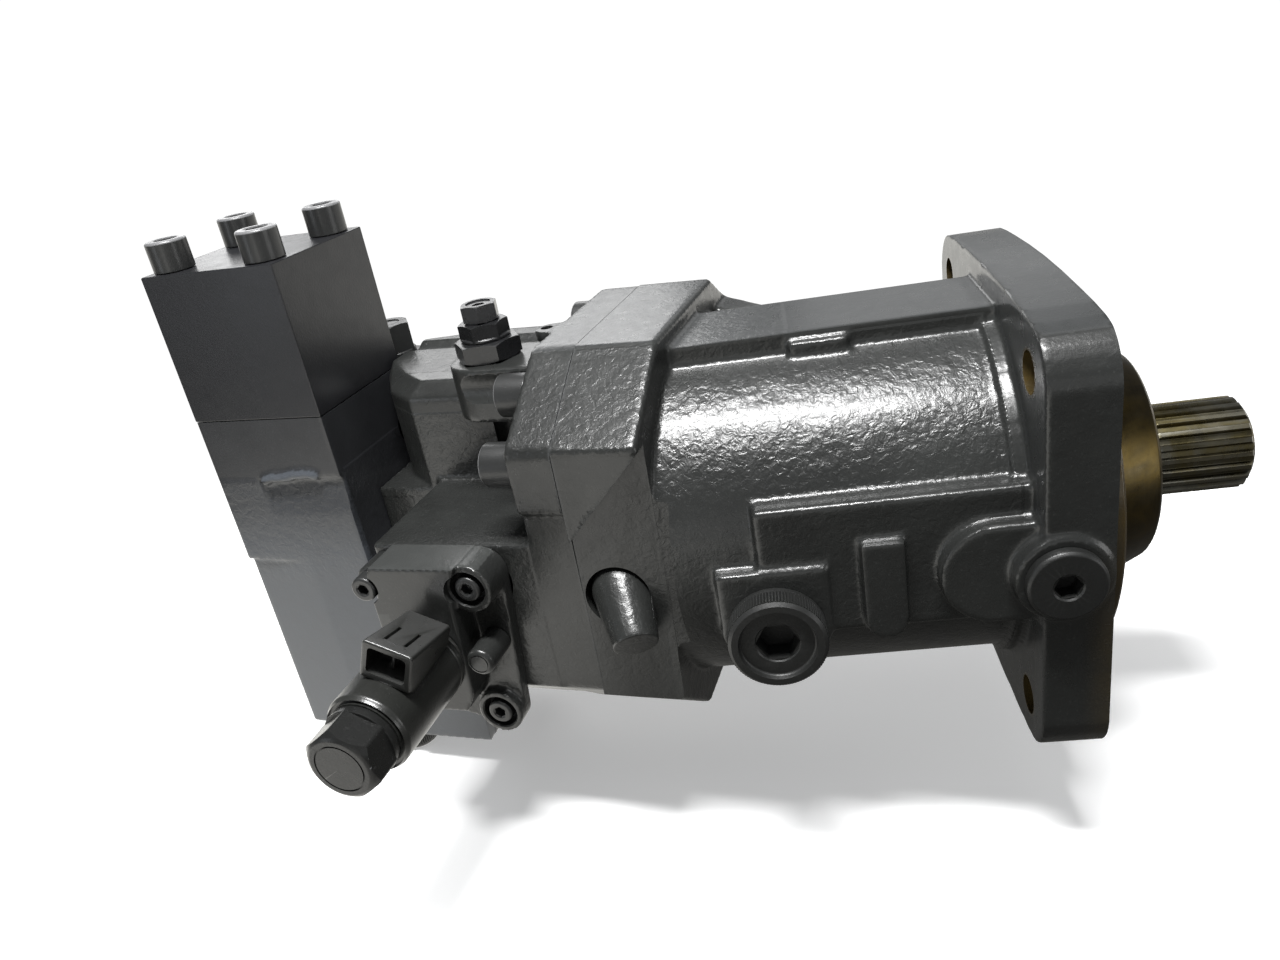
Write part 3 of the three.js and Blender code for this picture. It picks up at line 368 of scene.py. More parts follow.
def normals(ob, rear=True):
    me = ob.data; n = np.empty(len(me.vertices) * 3); me.vertices.foreach_get("normal", n); n = n.reshape(-1, 3)
    if rear: n = n @ np.array(REAR_INV)[:3, :3].T
    return n

def mask(ob, name, a):
    at = ob.data.attributes.get(name) or ob.data.attributes.new(name, "FLOAT", "POINT")
    at.data.foreach_set("value", np.clip(a, 0, 1).astype(np.float32))

def sm(x, a, b):
    t = np.clip((x - a) / (b - a), 0, 1); return t * t * (3 - 2 * t)

def done(ob, node, angle=32, skin=0.12, painted_light_and_chips=0.0, oil=0.0, mat=None):
    ob.name = node + "_look"; ob.data.name = ob.name
    ob.data.materials.clear(); ob.data.materials.append(MAT[mat or SLOT[node]])
    ob.data.shade_smooth(); ob.data.set_sharp_from_angle(angle=math.radians(angle))
    for k, v in (("skin", skin), ("painted_light_and_chips", painted_light_and_chips), ("oil", oil)):
        if k not in ob.data.attributes: mask(ob, k, np.full(len(ob.data.vertices), v))
    m_ = ob.modifiers.new("w", "WEIGHTED_NORMAL"); m_.mode = "FACE_AREA"; m_.weight = 50; m_.keep_sharp = True
    bake(ob); ob.data.name = ob.name
    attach(ob, BODY[node]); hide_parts(node)
    return ob

# ------------------------------------------------------------------ dimensions (mm)
FL, FL_T, FL_HOLE, FL_HOLE_R, PILOT_R, PILOT_H, BARREL_R = 103.7, 27.5, 79.2, 9, 90, 9, 86.5
SEAM_U, REAR_U, PLATE_U, SHAFT_END, PIVOT = -97, -57, -120, 89.7, -110
U0, U1, V0, V1, W0, W1 = -331.6, -247.8, -53, 28.6, 71.2, 152.9
PORT_V, PWA, PWB, PA, PB = -12, 20, 112, 27.8, 57.2
CT_V, CT_F, SU, SW = -96.5, -120, -172.5, -27.5
boltVW = [(-86.5, 57), (-58, 80), (46, 84), (82, 62), (78, -66), (-66, -72)]
octTop = [(-100, 69), (-51, 100), (51, 100), (100, 69)]
def uvw(u, v, w): return (-110 + u * cos(BEND) + v * sin(BEND), -u * sin(BEND) + v * cos(BEND), w)

# ------------------------------------------------------------------ drive housing
def drive_housing():
    q = FL
    side = [(0, 1.0), (-.25, .996), (-.5, .985), (-.66, .976), (-.8, .962), (-.87, .945), (-.92, .91), (-.955, .87)]
    quad = [(y * q, z * q) for y, z in side]
    ring = list(quad) + [(-q * .985, .82 * q), (-q, .76 * q), (-q, -.76 * q), (-q * .985, -.82 * q)] + [(y, -z) for y, z in reversed(quad)]
    ring += [(-y, -z) for y, z in quad[1:]] + [(q * .985, -.82 * q), (q, -.76 * q), (q, .76 * q), (q * .985, .82 * q)] + [(-y, z) for y, z in list(reversed(quad))[:-1]]
    h = prism(ring, -FL_T, 6, "vw")
    barrel = cyl(BARREL_R, -240, -20, 160)
    body = add(barrel, box(-200, -20, -27, 27, 60, 92), box(-119, -92, -31, 0, 60, 88), cyl(89.5, -34, -20, 160), box(-143, -20, -90, -50, -28, 35))
    cut(body, box(-400, REAR_U - 3, -300, 300, -300, 300, True))
    rear_oct = octTop + [(100, -62), (62, -97), (-58, -97), (-100, -62)]
    rf = prism(rear_oct, SEAM_U - 6, REAR_U, "vw", True); bevel(rf, 2.2, 3, 60)
    bp = [(-96, 84 * cos(math.radians(a)), 84 * sin(math.radians(a))) for a in range(-66, 67, 11)]
    bp += [uvw(REAR_U - 1, v, w) for v, w in ((50, 84), (74, 84), (100, 69), (100, -62), (74, -84), (50, -84))]
    h = add(h, body, rf, hull(bp))
    add(h, prism([(-162, 7), (-162, -22)] + arc(-138, -22, 24.5, 180, 360, 28) + [(-113.5, 7)], -93, -40, "uw"))
    add(h, prism([(-99, 17), (-99, -22)] + arc(-90, -22, 9, 180, 360, 16) + [(-81, 17)], -95, -60, "uw"))
    add(h, prism([(-20, -25.5), (-20, 21.5), (-44, 21.5)] + arc(-44, -2, 23.5, 90, 270, 28) + [(-44, -25.5)], -98, -50, "uw"))
    add(h, cyl(19.5, -106, -90, 64, "y", (-20.2, 0, -2)))
    remesh(h, 1.35, 5, 200000)
    # sloping recess in the rear flange, with a cup and a tapered stub in it
    rec = [(-92.5, 21), (-56.9, 66.5), (-50, 66.5), (-50, -104), (-99, -104), (-99, 21)]
    cut(h, hull([(u, v, w) for u, w in rec for v in (-112, -96.4 + (u + 99) * .105 - (21 - w) * .030)], True))
    cut(h, rod((-80.6, -84, -8), (-80.6, -108, -8), 15.6, 64, True))
    A, B = Vector((-80.8, -88.5, -8)), Vector((-69.6, -110.5, -24)); d = (B - A).normalized()
    e1 = d.orthogonal().normalized(); e2 = d.cross(e1)
    st = [A + 14.4 * Vector((cos(a) * cos(b), sin(a) * cos(b), sin(b))) for a in (2 * pi * i / 40 for i in range(40)) for b in (pi * (j - 8) / 17 for j in range(17))]
    st += [B + (q * cos(a) * e1 + q * sin(a) * e2) + d * t for a in (2 * pi * i / 48 for i in range(48)) for q, t in ((10.9, -1.2), (10.5, -.3), (9.7, 0))]
    add(h, hull(st, True))
    # machined faces
    cut(h, box(-500, SEAM_U, -300, 300, -300, 300, True), box(0, 60, -300, 300, -300, 300))
    cut(h, box(-60, 20, -130, -105.9, -40, 40), box(-170, -105, -130, -92.9, -50, -20.2))
    h2 = lathe([(0, -3), (PILOT_R, -3), (PILOT_R, PILOT_H - 1.2), (PILOT_R - 1.2, PILOT_H), (0, PILOT_H)], 200, f=.3)
    add(h, h2)
    # under-cut of the pilot and a relief ring in the flange face
    bore = lathe([(0, 12), (34, 12), (34, -5), (46, -5), (46, -40), (44, -40), (44, -46), (58, -46), (58, -84), (74, -88), (76, -92), (76, -150), (0, -150)], 128)
    def rg(u, c0, r): return [uvw(u, (1 if cos(a) > 0 else -1) * c0 + r * cos(a), r * sin(a)) for a in (2 * pi * i / 48 + pi / 48 for i in range(48))]
    cut(h, bore, hull(rg(-22, 6, 63.2) + rg(-125, 28.8, 63.2)))
    for y in (-1, 1):
        for z in (-1, 1):
            cut(h, lathe([(0, -40), (FL_HOLE_R, -40), (FL_HOLE_R, -1), (FL_HOLE_R + 1, 0), (FL_HOLE_R + 1, 3), (0, 3)], 56, "x", (0, y * FL_HOLE, z * FL_HOLE)))
    cut(h, cyl(16.5, -100, -40, 48, "y", (-138, 0, -22)), cyl(11.5, -110, -72, 48, "y", (-20.2, 0, -2)))
    for v, w in boltVW: cut(h, cyl(8, SEAM_U - 1, SEAM_U + 26, 32, "x", (0, v, w), True))
    p = coords(h, False); n = normals(h, False); r = coords(h, True); rn = normals(h, True)
    rad = np.hypot(p[:, 1], p[:, 2])
    skin = np.full(len(p), .55)
    skin = np.where((p[:, 0] > -33), .05, skin)                                   # flange
    onb = (np.abs(rad - BARREL_R) < 2.5) & (p[:, 0] < -34)
    ang = np.degrees(np.arctan2(-p[:, 1], p[:, 2]))
    skin = np.where(onb, .45 + .55 * sm(ang, 14, 30) * (1 - .75 * sm(ang, 62, 78)), skin)
    skin = np.where((p[:, 2] > 89) & (p[:, 0] > -119) & (p[:, 0] < -30), .10, skin)      # milled pad
    skin = np.where((r[:, 0] < -56) & (rn[:, 1] < -.9), .30, skin)                # control-side flat of the rear flange
    skin = np.where((r[:, 0] < -56) & (r[:, 2] > 98.6), .35, skin)
    skin = np.where((r[:, 0] < -56) & (r[:, 2] > 66) & (r[:, 2] < 98.6) & (rn[:, 1] < -.2), .62, skin)
    skin = np.where((p[:, 1] < -91) & (p[:, 0] > -100), .22, skin)                # bosses
    mask(h, "skin", skin)
    d = np.min([np.hypot(p[:, 1] - a * FL_HOLE, p[:, 2] - b * FL_HOLE) for a in (-1, 1) for b in (-1, 1)], axis=0)
    oil = (1 - sm(d, 8.6, 10.6)) * (p[:, 0] > -30)
    oil = np.maximum(oil, .9 * sm(p[:, 0], .2, 2.0))                             # pilot and everything before the flange face
    oil = np.maximum(oil, .35 * sm(p[:, 0], -13, -1) * (1 - sm(p[:, 2], -40, 20)))
    oil = np.maximum(oil, (p[:, 0] > -30) * (rad < 60) * (p[:, 0] > -6) * .9)
    mask(h, "oil", oil)
    # painted highlights: lighter on the up-facing top of the pad, on the back face of the flange and along the seam
    # with the port plate
    painted_light_and_chips = .55 * (n[:, 2] > .92) * (p[:, 2] > 88) + .35 * (p[:, 0] < -26) * (n[:, 0] < -.9) * (p[:, 0] > -30)
    mask(h, "painted_light_and_chips", np.maximum(painted_light_and_chips, .5 * (np.abs(r[:, 0] - SEAM_U) < .4) * (r[:, 1] < 30)))
    return done(h, "drive_housing", 38)

def port_plate():
    poct = octTop + [(100, -62), (62, -97), (-58, -97), (-96.5, -62), (-96.5, 37), (-100, 37)]
    p = prism(fil(poct, 4.5, 3, True), PLATE_U, SEAM_U + 6, "vw", True); bevel(p, 7.0, 5, 60)
    low = prism([(-60, 19.5), (74, 19.5), (74, -80), (60, -92), (-62, -92), (-96.5, -62), (-96.5, 19.5)], -206, PLATE_U + 1, "vw", True)
    def r3(d, w): return [(x, y, w) for x, y in ((-119, -25 + d), (-212 + d, -25 + d), (-232 + d, -10 + d), (-247.5 + d * .2, 14 + d), (-247.5 + d * .2, 66 - d), (-206 + d, 76 - d), (-119, 76 - d))]
    core = hull(r3(0, 10) + r3(0, 68) + r3(7, 76), True)
    bridge = prism([(14, 15), (56, 15), (66, 5), (66, -60), (56, -70), (-16, -70), (-25, -60), (-25, 15)], -247.5, -205, "vw", True)
    sboss = prism(arc(-155, -27, 21, 90, 270, 32) + [(-119, -48), (-119, -6)], 62, 90, "uv", True)
    lug = prism([(-119, -27), (-119, -9), (-127, -11), (-130, -14), (-131, -18), (-130, -22), (-127, -25)], 94, 100, "uv", True)
    add(p, low, core, bridge, sboss, lug)
    remesh(p, 1.35, 4, 190000)
    off = SEAM_U - .3
    cut(p, box(off, 60, -300, 300, -300, 300, True))
    cut(p, cyl(3.2, 88, 106, 32, "z", (-125, -18, 0), True), box(-250, -120.6, -150, CT_V - .0 + .12 - 60 + 60 - .0, -300, -299, True))
    def rg(u, c0, r): return [(u, (1 if cos(a) > 0 else -1) * c0 + r * cos(a), r * sin(a)) for a in (2 * pi * i / 48 + pi / 48 for i in range(48))]
    cut(p, hull(rg(-90, 19.9, 63.2) + rg(-112, 24.4, 63.2), True))
    cut(p, prism([(-95, -80)] + arc(0, 0, 124.65, 216, 144, 48) + [(-95, 80)], -52.5, 52.5, "uv", True))
    cut(p, cyl(17, -98, 62, 64, "y", (-150, 0, 0), True), box(-150, -118, -35, 35, -7, 7, True))
    cut(p, cyl(9.2, 40, 92, 40, "z", (-155, -27, 0), True))
    for w in (-36, 36): cut(p, cyl(12, -250, -118, 40, "x", (0, 22, w), True))
    for v, w in boltVW:
        cut(p, cyl(8.5, PLATE_U - 3, SEAM_U + 3, 32, "x", (0, v, w), True), cyl(12.5, -250, PLATE_U - .1, 48, "x", (0, v, w), True))
    for u, w in ((-200, 8), (-146, 7), (-152, -71), (-200, -60)): cut(p, cyl(4, -97.5, -74, 24, "y", (u, 0, w), True))
    r = coords(p); n = normals(p)
    skin = np.full(len(r), .62)
    skin = np.where((r[:, 0] > -121) & (n[:, 1] < -.9), .30, skin)
    skin = np.where((r[:, 2] > 98.6), .40, skin)
    skin = np.where((r[:, 0] < -120) & (r[:, 1] < -24) & (r[:, 2] > 10), .95, skin)
    skin = np.where((r[:, 2] > 60) & (r[:, 1] < -5) & (r[:, 0] < -121), .15, skin)
    mask(p, "skin", skin)
    # painted highlights: lighter on the up-facing top and along the seam with the drive housing
    mask(p, "painted_light_and_chips", np.maximum(.55 * (n[:, 2] > .92) * (r[:, 2] > 92), .5 * (np.abs(r[:, 0] - SEAM_U) < .45) * (r[:, 1] < 30)))
    return done(p, "port_plate", 38)

# ------------------------------------------------------------------ valve column and port block
blkScrew = [(-319, -40.5), (-260.5, -40.5), (-260.5, 16), (-319, 16)]
def port_holes(o, w):
    cut(o, lathe([(0, U0 - 6), (14.2, U0 - 6), (14.2, U0), (12.7, U0 + 1.5), (12.7, -290), (0, -290)], 64, "x", (0, PORT_V, w), True))
    for a in (-1, 1):
        for b in (-1, 1):
            cut(o, lathe([(0, U0 - 6), (6.0, U0 - 6), (6.0, U0), (5.1, U0 + .9), (5.1, U0 + 20), (0, U0 + 22.5)], 32, "x", (0, PORT_V + a * PA / 2, w + b * PB / 2), True))
    return o

def valve_column():
    c = prism([(U0, V0), (U1, V0), (U1, 62), (U1 - 30, 70), (U0 + 20, 60), (U0, 36)], -140, W0 + 6, "uv", True)
    cut(c, hull([(-303, V0 - 1, 37), (-303, V0 + 2.4, 34), (-236, V0 - 1, 37), (-236, V0 + 2.4, 34), (-303, V0 - 1, 4), (-236, V0 - 1, 4)], True))
    cut(c, prism([(U0 - 3, V0 - 3), (-288, V0 - 3), (-288, V0), (U0 - 3, V0 + 3.4)], -144, -17, "uv", True))
    add(c, prism([(-200, V0 - 2), (-200, 34), (-250, 34), (-250, V0 - 2)], -140, -94, "uv", True))
    rdg = [(-300, 33.5), (-294, 36.2), (-286, 36.0), (-278, 37.6), (-268, 38.2), (-262, 36.5)]
    for (a0, w0), (a1, w1) in zip(rdg, rdg[1:]): add(c, rod((a0, V0 + .2, w0), (a1, V0 + .2, w1), 2.5, 20, True))
    remesh(c, 1.3, 3, 170000)
    cut(c, box(-500, 0, -300, 300, W0 - .3, 200, True))
    cut(c, cyl(15, -100, 80, 64, "z", (-290, -12, 0), True))
    for w in (-36, 36): cut(c, cyl(12, -296, -240, 48, "x", (0, 22, w), True), box(-294, -282, -12, 22, w - 8, w + 8, True))
    for u, v in blkScrew: cut(c, cyl(7.2, W0 - 34, W0 + 2, 40, "z", (u, v, 0), True))
    cut(c, cyl(8.6, 50, 75, 40, "z", (-261.5, 47, 0), True), cyl(8.6, -144, -118, 40, "z", (-265, -37, 0), True))
    port_holes(c, PWA)
    r = coords(c); n = normals(c)
    front = r[:, 1] < V0 + 5
    skin = np.full(len(r), .5)
    skin = np.where(front, .85 * sm(-r[:, 2], -37, -33) * (1 - sm(-r[:, 2], 12, 40)) + .08, skin)
    skin = np.where(r[:, 2] > 38.5, .10, skin)
    mask(c, "skin", skin)
    # painted bounce light: lighter and bluer towards the bottom, most on the front; painted highlight along the ridge;
    # the front below the ridge is a little lighter as well
    low = sm(-r[:, 2], -25, 25)
    mask(c, "painted_light_and_chips", np.where(front, .20 * sm(-r[:, 2], -36, -30) + .9 * (np.abs(r[:, 2] - 38) < 3) * (r[:, 1] < V0 - .6) + .68 * low, .15 * low))
    return done(c, "valve_column", 34)

def port_block():
    b = box(U0, U1, V0, V1, W0, W1, True, .8)
    for u, v in blkScrew: cut(b, lathe([(0, W0 - 2), (7.4, W0 - 2), (7.4, W1 - .6), (8.0, W1), (8.0, W1 + 2), (0, W1 + 2)], 48, "z", (u, v, 0), True))
    cut(b, cyl(12, W0 - 2, PWB + 4, 48, "z", (-290, PORT_V, 0), True))
    port_holes(b, PWB)
    m = b.modifiers.new("t", "TRIANGULATE"); bake(b)
    n = normals(b)
    mask(b, "skin", np.full(len(n), .22))
    return done(b, "port_block", 34)

# ------------------------------------------------------------------ control valve
def control_housing():
    b1, b2, b3, b4 = (-146, 7), (-152, -71), (-200, 8), (-200, -60)
    pts = [(x, v, z) for c, r in ((b1, 12.5), (b2, 12), (b3, 8), (b4, 9)) for x, z in ngon(r, 40, c[0], c[1], .22) for v in (CT_V + 4, -103)]
    k = hull(pts, True)
    add(k, prism([(-197, -62), (-197, 12), (-194, 20), (-148, 20), (-154, 4), (-156, -52), (-162, -62)], CT_F, CT_V + 4, "uw", True))
    for c, r, t in ((b1, 12.5, -116), (b2, 12, -108), (b3, 8, -112), (b4, 9, -108)):
        add(k, cyl(r, t, CT_V + 4, 64, "y", (c[0], 0, c[1]), True))
    remesh(k, .9, 4, 150000)
    cut(k, box(-300, 0, CT_V - .3, 60, -200, 200, True))
    cut(k, cyl(8, -125, -94, 48, "y", (SU, 0, SW), True))
    for c, s, r in ((b1, -108, 9), (b2, -100, 9), (b3, -112, 8.4), (b4, -100, 8)):
        cut(k, cyl(4.4, -130, -90, 32, "y", (c[0], 0, c[1]), True))
        cut(k, lathe([(0, -130), (r + .8, -130), (r + .8, -116.2 if c == b1 else -108.2), (r, -115.2 if c == b1 else -107.2), (r, s), (0, s)] if r > 8.5 else [(0, -130), (r, -130), (r, s), (0, s)], 64, "y", (c[0], 0, c[1]), True))
    cut(k, cyl(5.3, -130, -98.5, 40, "y", (-145, 0, -29), True))
    cut(k, cyl(17.3, -130, -119.9, 64, "y", (SU, 0, SW), True))
    r = coords(k); n = normals(k)
    skin = np.full(len(r), .75)
    skin = np.where(r[:, 2] > 19, .28, skin)
    skin = np.where((r[:, 1] < -119.2), .15, skin)
    mask(k, "skin", skin)
    # painted highlight on the up-facing top; the lower front of the left bosses is lighter as well
    mask(k, "painted_light_and_chips", .55 * (n[:, 2] > .8) * (r[:, 2] > 17) * 1.0 + .5 * (r[:, 0] < -190) * (r[:, 1] < -102) * (r[:, 2] < -5))
    return done(k, "control_housing", 38)

def about(ob, a=math.radians(22)):
    """turn about the solenoid axis"""
    C = Matrix.Translation((SU * .001, 0, SW * .001))
    ob.data.transform(REAR_INV); ob.data.transform(C @ Matrix.Rotation(a, 4, "Y") @ C.inverted()); ob.data.transform(REAR)
    return ob

def solenoid():
    o = (SU, 0, SW)
    t = lathe([(0, CT_F - .3), (17, CT_F - .3), (17, CT_F - 3.5), (10.5, CT_F - 3.5), (10.5, -193), (0, -193)], 96, "y", o, True, f=.5)
    cut(t, cyl(7.4, -178, -110, 48, "y", o, True)); done(t, "solenoid_tube")
    R = 20.4
    prof = [(0, -124), (R - 1.6, -124), (R, -125.6), (R, -128.4), (R - .5, -129), (R, -129.8), (R, -177.2), (R - .9, -178.6), (R - 1.4, -180), (0, -180)]
    coil = lathe(prof, 128, "y", o, True, f=.7)
    w = hull([(SU + a, v, SW + r) for a, v, r in ((-11, -127, 12), (11, -127, 12), (-11, -127, 28.7), (11, -127, 28.7), (-12, -160, 14), (12, -160, 14), (-12, -167, 20), (12, -167, 20), (-12, -167, 40.6), (12, -167, 40.6))], True, 1.6, 4)
    add(coil, about(w))
    # raised collar round the mouth of the socket
    mouth = hull([(SU + a, v, SW + r) for a in (-11.9, 11.9) for v, r in ((-159.5, 21.2), (-166.8, 20.4), (-159.5, 37.6), (-166.8, 40.4))], True, 2.6, 5)
    add(coil, about(mouth))
    pk = hull([(SU + a, v, SW + r) for a, v, r in ((-9.7, -168, 22.9), (9.7, -168, 22.9), (-9.7, -168, 38.1), (9.7, -168, 38.1), (-9.3, -153, 22.9), (9.3, -153, 22.9), (-9.3, -153, 34.2), (9.3, -153, 34.2))], True, 2.4, 5)
    cut(coil, about(pk))
    for s in (-1, 1): add(coil, about(box(SU + s * 5 - 1.2, SU + s * 5 + 1.2, -158.5, -151, SW + 28, SW + 30.2, True, .35)))
    add(coil, about(box(SU - .7, SU + .7, -160, -151, SW + 23.5, SW + 34.2, True, .3)))
    # latch nose and its slot on the outer side of the plug housing
    add(coil, about(hull([(SU + a, v, SW + r) for a in (-3.4, 3.4) for v, r in ((-146, 32.0), (-158, 37.6), (-161.5, 39.2), (-161.5, 36.4), (-146, 30.5))], True, .5, 2)))
    cut(coil, about(box(SU - 5.6, SU - 4.0, -160, -146, SW + 32.6, SW + 50, True)), about(box(SU + 4.0, SU + 5.6, -160, -146, SW + 32.6, SW + 50, True)))
    cut(coil, lathe([(17.6, -182), (19.2, -182), (19.2, -178), (17.6, -178), (17.6, -182)], 96, "y", o, True))
    cut(coil, cyl(11, -184, -120, 64, "y", o, True))
    n = normals(coil); r = coords(coil)
    # painted highlight on the up-facing faces of the plug socket that stands out from the coil
    mask(coil, "painted_light_and_chips", .18 * (n[:, 2] > .55) * (np.hypot(r[:, 0] - SU, r[:, 2] - SW) > 24))
    done(coil, "solenoid_coil", 34, skin=.5)
    nut = lathe([(0, -184.5), (17.4, -184.5), (17.4, -180.3), (0, -180.3)], 96, "y", o, True, f=.6)
    hx = prism(fil(ngon(18.2, 6, SU, SW, math.radians(35)), 1.2, 3, True), -200, -184, "uw", True)
    add(nut, both(hx, lathe([(0, -200), (14.2, -200), (15.6, -199.2), (18.5, -196.2), (18.6, -183.5), (0, -183.5)], 128, "y", o, True, f=.5)))
    cut(nut, lathe([(11.2, -201), (12.0, -201), (12.0, -199.35), (11.2, -199.35), (11.2, -201)], 96, "y", o, True))
    cut(nut, cyl(11, -195, -175, 48, "y", o, True))
    r = coords(nut); n = normals(nut)
    m_ = nut.modifiers.new("s", "TRIANGULATE"); bake(nut)

    r = coords(nut); rad = np.hypot(r[:, 0] - SU, r[:, 2] - SW)
    mask(nut, "painted_light_and_chips", .08 + .80 * (rad > 14.4) * (r[:, 1] < -195.6) * (r[:, 1] > -199.8) + .25 * (rad > 17.2))
    done(nut, "solenoid_nut", 30, skin=.35, mat="nut")
    done(lathe([(0, -172), (7, -172), (7, -126), (3, -124), (3, -118), (7, -116), (7, -106), (4.5, -105), (4.5, -100), (7, -99), (7, -97), (0, -97)], 64, "y", o, True, f=.4), "control_spool")

# ------------------------------------------------------------------ fasteners and plugs
def fasteners():
    for i, (v, w) in enumerate(boltVW):
        s = capscrew(7.4, 10.5, 16, 44, (PLATE_U - .3, v, w), "x", -1, ph=.3 + i)
        # painted highlight on the chamfered rim of each head
        r = coords(s); mask(s, "painted_light_and_chips", .7 * (r[:, 0] < PLATE_U - 15.3) * (np.hypot(r[:, 1] - v, r[:, 2] - w) > 9.0))
        done(s, f"port_plate_screw_{i + 1}", 34, skin=.3)
    for i, (u, v) in enumerate(blkScrew):
        s = capscrew(6.9, 10.5, 16, W1 - W0 + 28, (u, v, W1 + .3), "z", 1, ph=.25 + .7 * i)
        r = coords(s); q_ = np.hypot(r[:, 0] - u, r[:, 1] - v)
        # painted highlight on the chamfered rim of each head and round the mouth of the key socket
        mask(s, "painted_light_and_chips", .75 * (r[:, 2] > W1 + 15.1) * (q_ > 9.0) + .35 * (r[:, 2] > W1 + 15.6) * (q_ < 7.2))
        done(s, f"port_block_screw_{i + 1}", 34, skin=.15)
    for i, (c, s) in enumerate((((-146, 7), -108), ((-152, -71), -100), ((-200, 8), -112), ((-200, -60), -100))):
        done(capscrew(3.7, 6.5, 8, -s - 76, (c[0], s - .3, c[1]), "y", -1, ph=.4 * i), f"control_screw_{i + 1}", 34, skin=.2)
    pn = lathe([(0, -124), (5.5, -124), (7, -122.5), (7, -103.3), (5, -103.3), (5, -98.8), (0, -98.8)], 72, "y", (-145, 0, -29), True, f=.8)
    cut(pn, lathe([(4.3, -125), (4.9, -125), (4.9, -123.5), (4.3, -123.5), (4.3, -125)], 72, "y", (-145, 0, -29), True))
    done(pn, "control_pin", skin=.3)
    c = (-155, -27)
    b = hexpiece(30, 90.3, 100, "z", c, .2)
    add(b, cyl(8.8, 62, 91.3, 48, "z", (c[0], c[1], 0), True)); cut(b, cyl(5.3, 60, 104, 40, "z", (c[0], c[1], 0), True))
    done(b, "setting_screw_base", 30, skin=.2)
    n_ = hexpiece(22, 100.3, 109, "z", c, .5, ends=(0, 1))
    add(n_, lathe([(0, 100.3), (12.4, 100.3), (12.4, 101.4), (11.5, 102), (0, 102)], 72, "z", (c[0], c[1], 0), True, f=.3)); cut(n_, cyl(5.3, 96, 114, 40, "z", (c[0], c[1], 0), True))
    done(n_, "setting_screw_nut", 30, skin=.4)
    s = thread(5, 66, 109.5, 1.2, "z", (c[0], c[1], 0), n=40)
    hx = hexpiece(17, 109.3, 118, "z", c, .9)
    cut(hx, lathe([(0, 116.6), (6.2, 117.3), (6.6, 119), (0, 119)], 48, "z", (c[0], c[1], 0), True))
    cut(hx, prism(ngon(hexr(6), 6, c[0], c[1], .3), 113, 120, "uv", True))
    add(hx, cyl(4.3, 108.5, 110, 40, "z", (c[0], c[1], 0), True)); merge(hx, s)
    done(hx, "setting_screw_stud", 30, skin=.4)
    hp = hexpiece(24, W0 + 3, W0 + 20, "z", (-261.5, 47), .1, ends=(0, 1))
    cut(hp, lathe([(0, W0 + 18.6), (7.5, W0 + 19.4), (7.9, W0 + 22), (0, W0 + 22)], 48, "z", (-261.5, 47, 0), True))
    add(hp, lathe([(0, W0), (13.4, W0), (13.4, W0 + 2.8), (12.9, W0 + 3.3), (0, W0 + 3.3)], 80, "z", (-261.5, 47, 0), True), cyl(8.2, 54, W0 + 1, 40, "z", (-261.5, 47, 0), True))
    done(hp, "hex_plug", 30, skin=.4)
    kn = lambda r, n, d: [q for i in range(n) for q in ((r * cos(2 * pi * (i - .22) / n), r * sin(2 * pi * (i - .22) / n)), (r * cos(2 * pi * (i + .22) / n), r * sin(2 * pi * (i + .22) / n)), ((r - d) * cos(2 * pi * (i + .5) / n), (r - d) * sin(2 * pi * (i + .5) / n)))]
    bp = prism([(x - 265, y - 37) for x, y in kn(13.5, 60, .55)], -154.5, -143, "uv", True)
    add(bp, lathe([(0, -157), (11.8, -157), (13.2, -155.6), (13.2, -154), (12.9, -153.9), (12.9, -143), (13.4, -142.4), (13.4, -140.3), (8.2, -140.3), (8.2, -122), (0, -122)], 96, "z", (-265, -37, 0), True))
    cut(bp, prism(ngon(hexr(12), 6, -265, -37), -160, -148, "uv", True))
    done(bp, "bottom_plug", 30, skin=.3)
    # large drain plug: knurled rim, dished face, hexagon key socket
    c = (-138, -22)
    k = prism([(x + c[0], z + c[1]) for x, z in kn(22, 100, .55)], -104.2, -95.4, "uw")
    core = lathe([(0, -106), (20.2, -106), (21.7, -104.5), (21.7, -104), (21.3, -103.9), (21.3, -95.6), (21.8, -95.2), (21.8, -93.3), (16, -93.3), (16, -76), (0, -76)], 144, "y", (c[0], 0, c[1]))
    add(k, core)
    cut(k, lathe([(0, -108), (17.9, -108), (17.2, -105.7), (16.8, -103.9), (16.2, -103.3), (0, -103.3)], 128, "y", (c[0], 0, c[1]), f=.4))
    cut(k, prism(ngon(hexr(17), 6, c[0], c[1]), -110, -92, "uw"))
    cut(k, lathe([(0, -103.9), (10.6, -103.9), (9.5, -102.7), (0, -102.7)], 64, "y", (c[0], 0, c[1])))
    done(k, "drain_plug_rear", 28, skin=.3)
    c = (-20.2, -2)
    k = lathe([(0, -111.5), (14.8, -111.5), (16, -110.3), (16, -106.3), (11, -106.3), (11, -88), (0, -88)], 120, "y", (c[0], 0, c[1]), f=.5)
    cut(k, prism(ngon(hexr(10), 6, c[0], c[1], .12), -113, -103, "uw"), lathe([(0, -112), (6.9, -112), (5.7, -110.8), (0, -110.8)], 48, "y", (c[0], 0, c[1])))
    done(k, "drain_plug_front", 30, skin=.3)

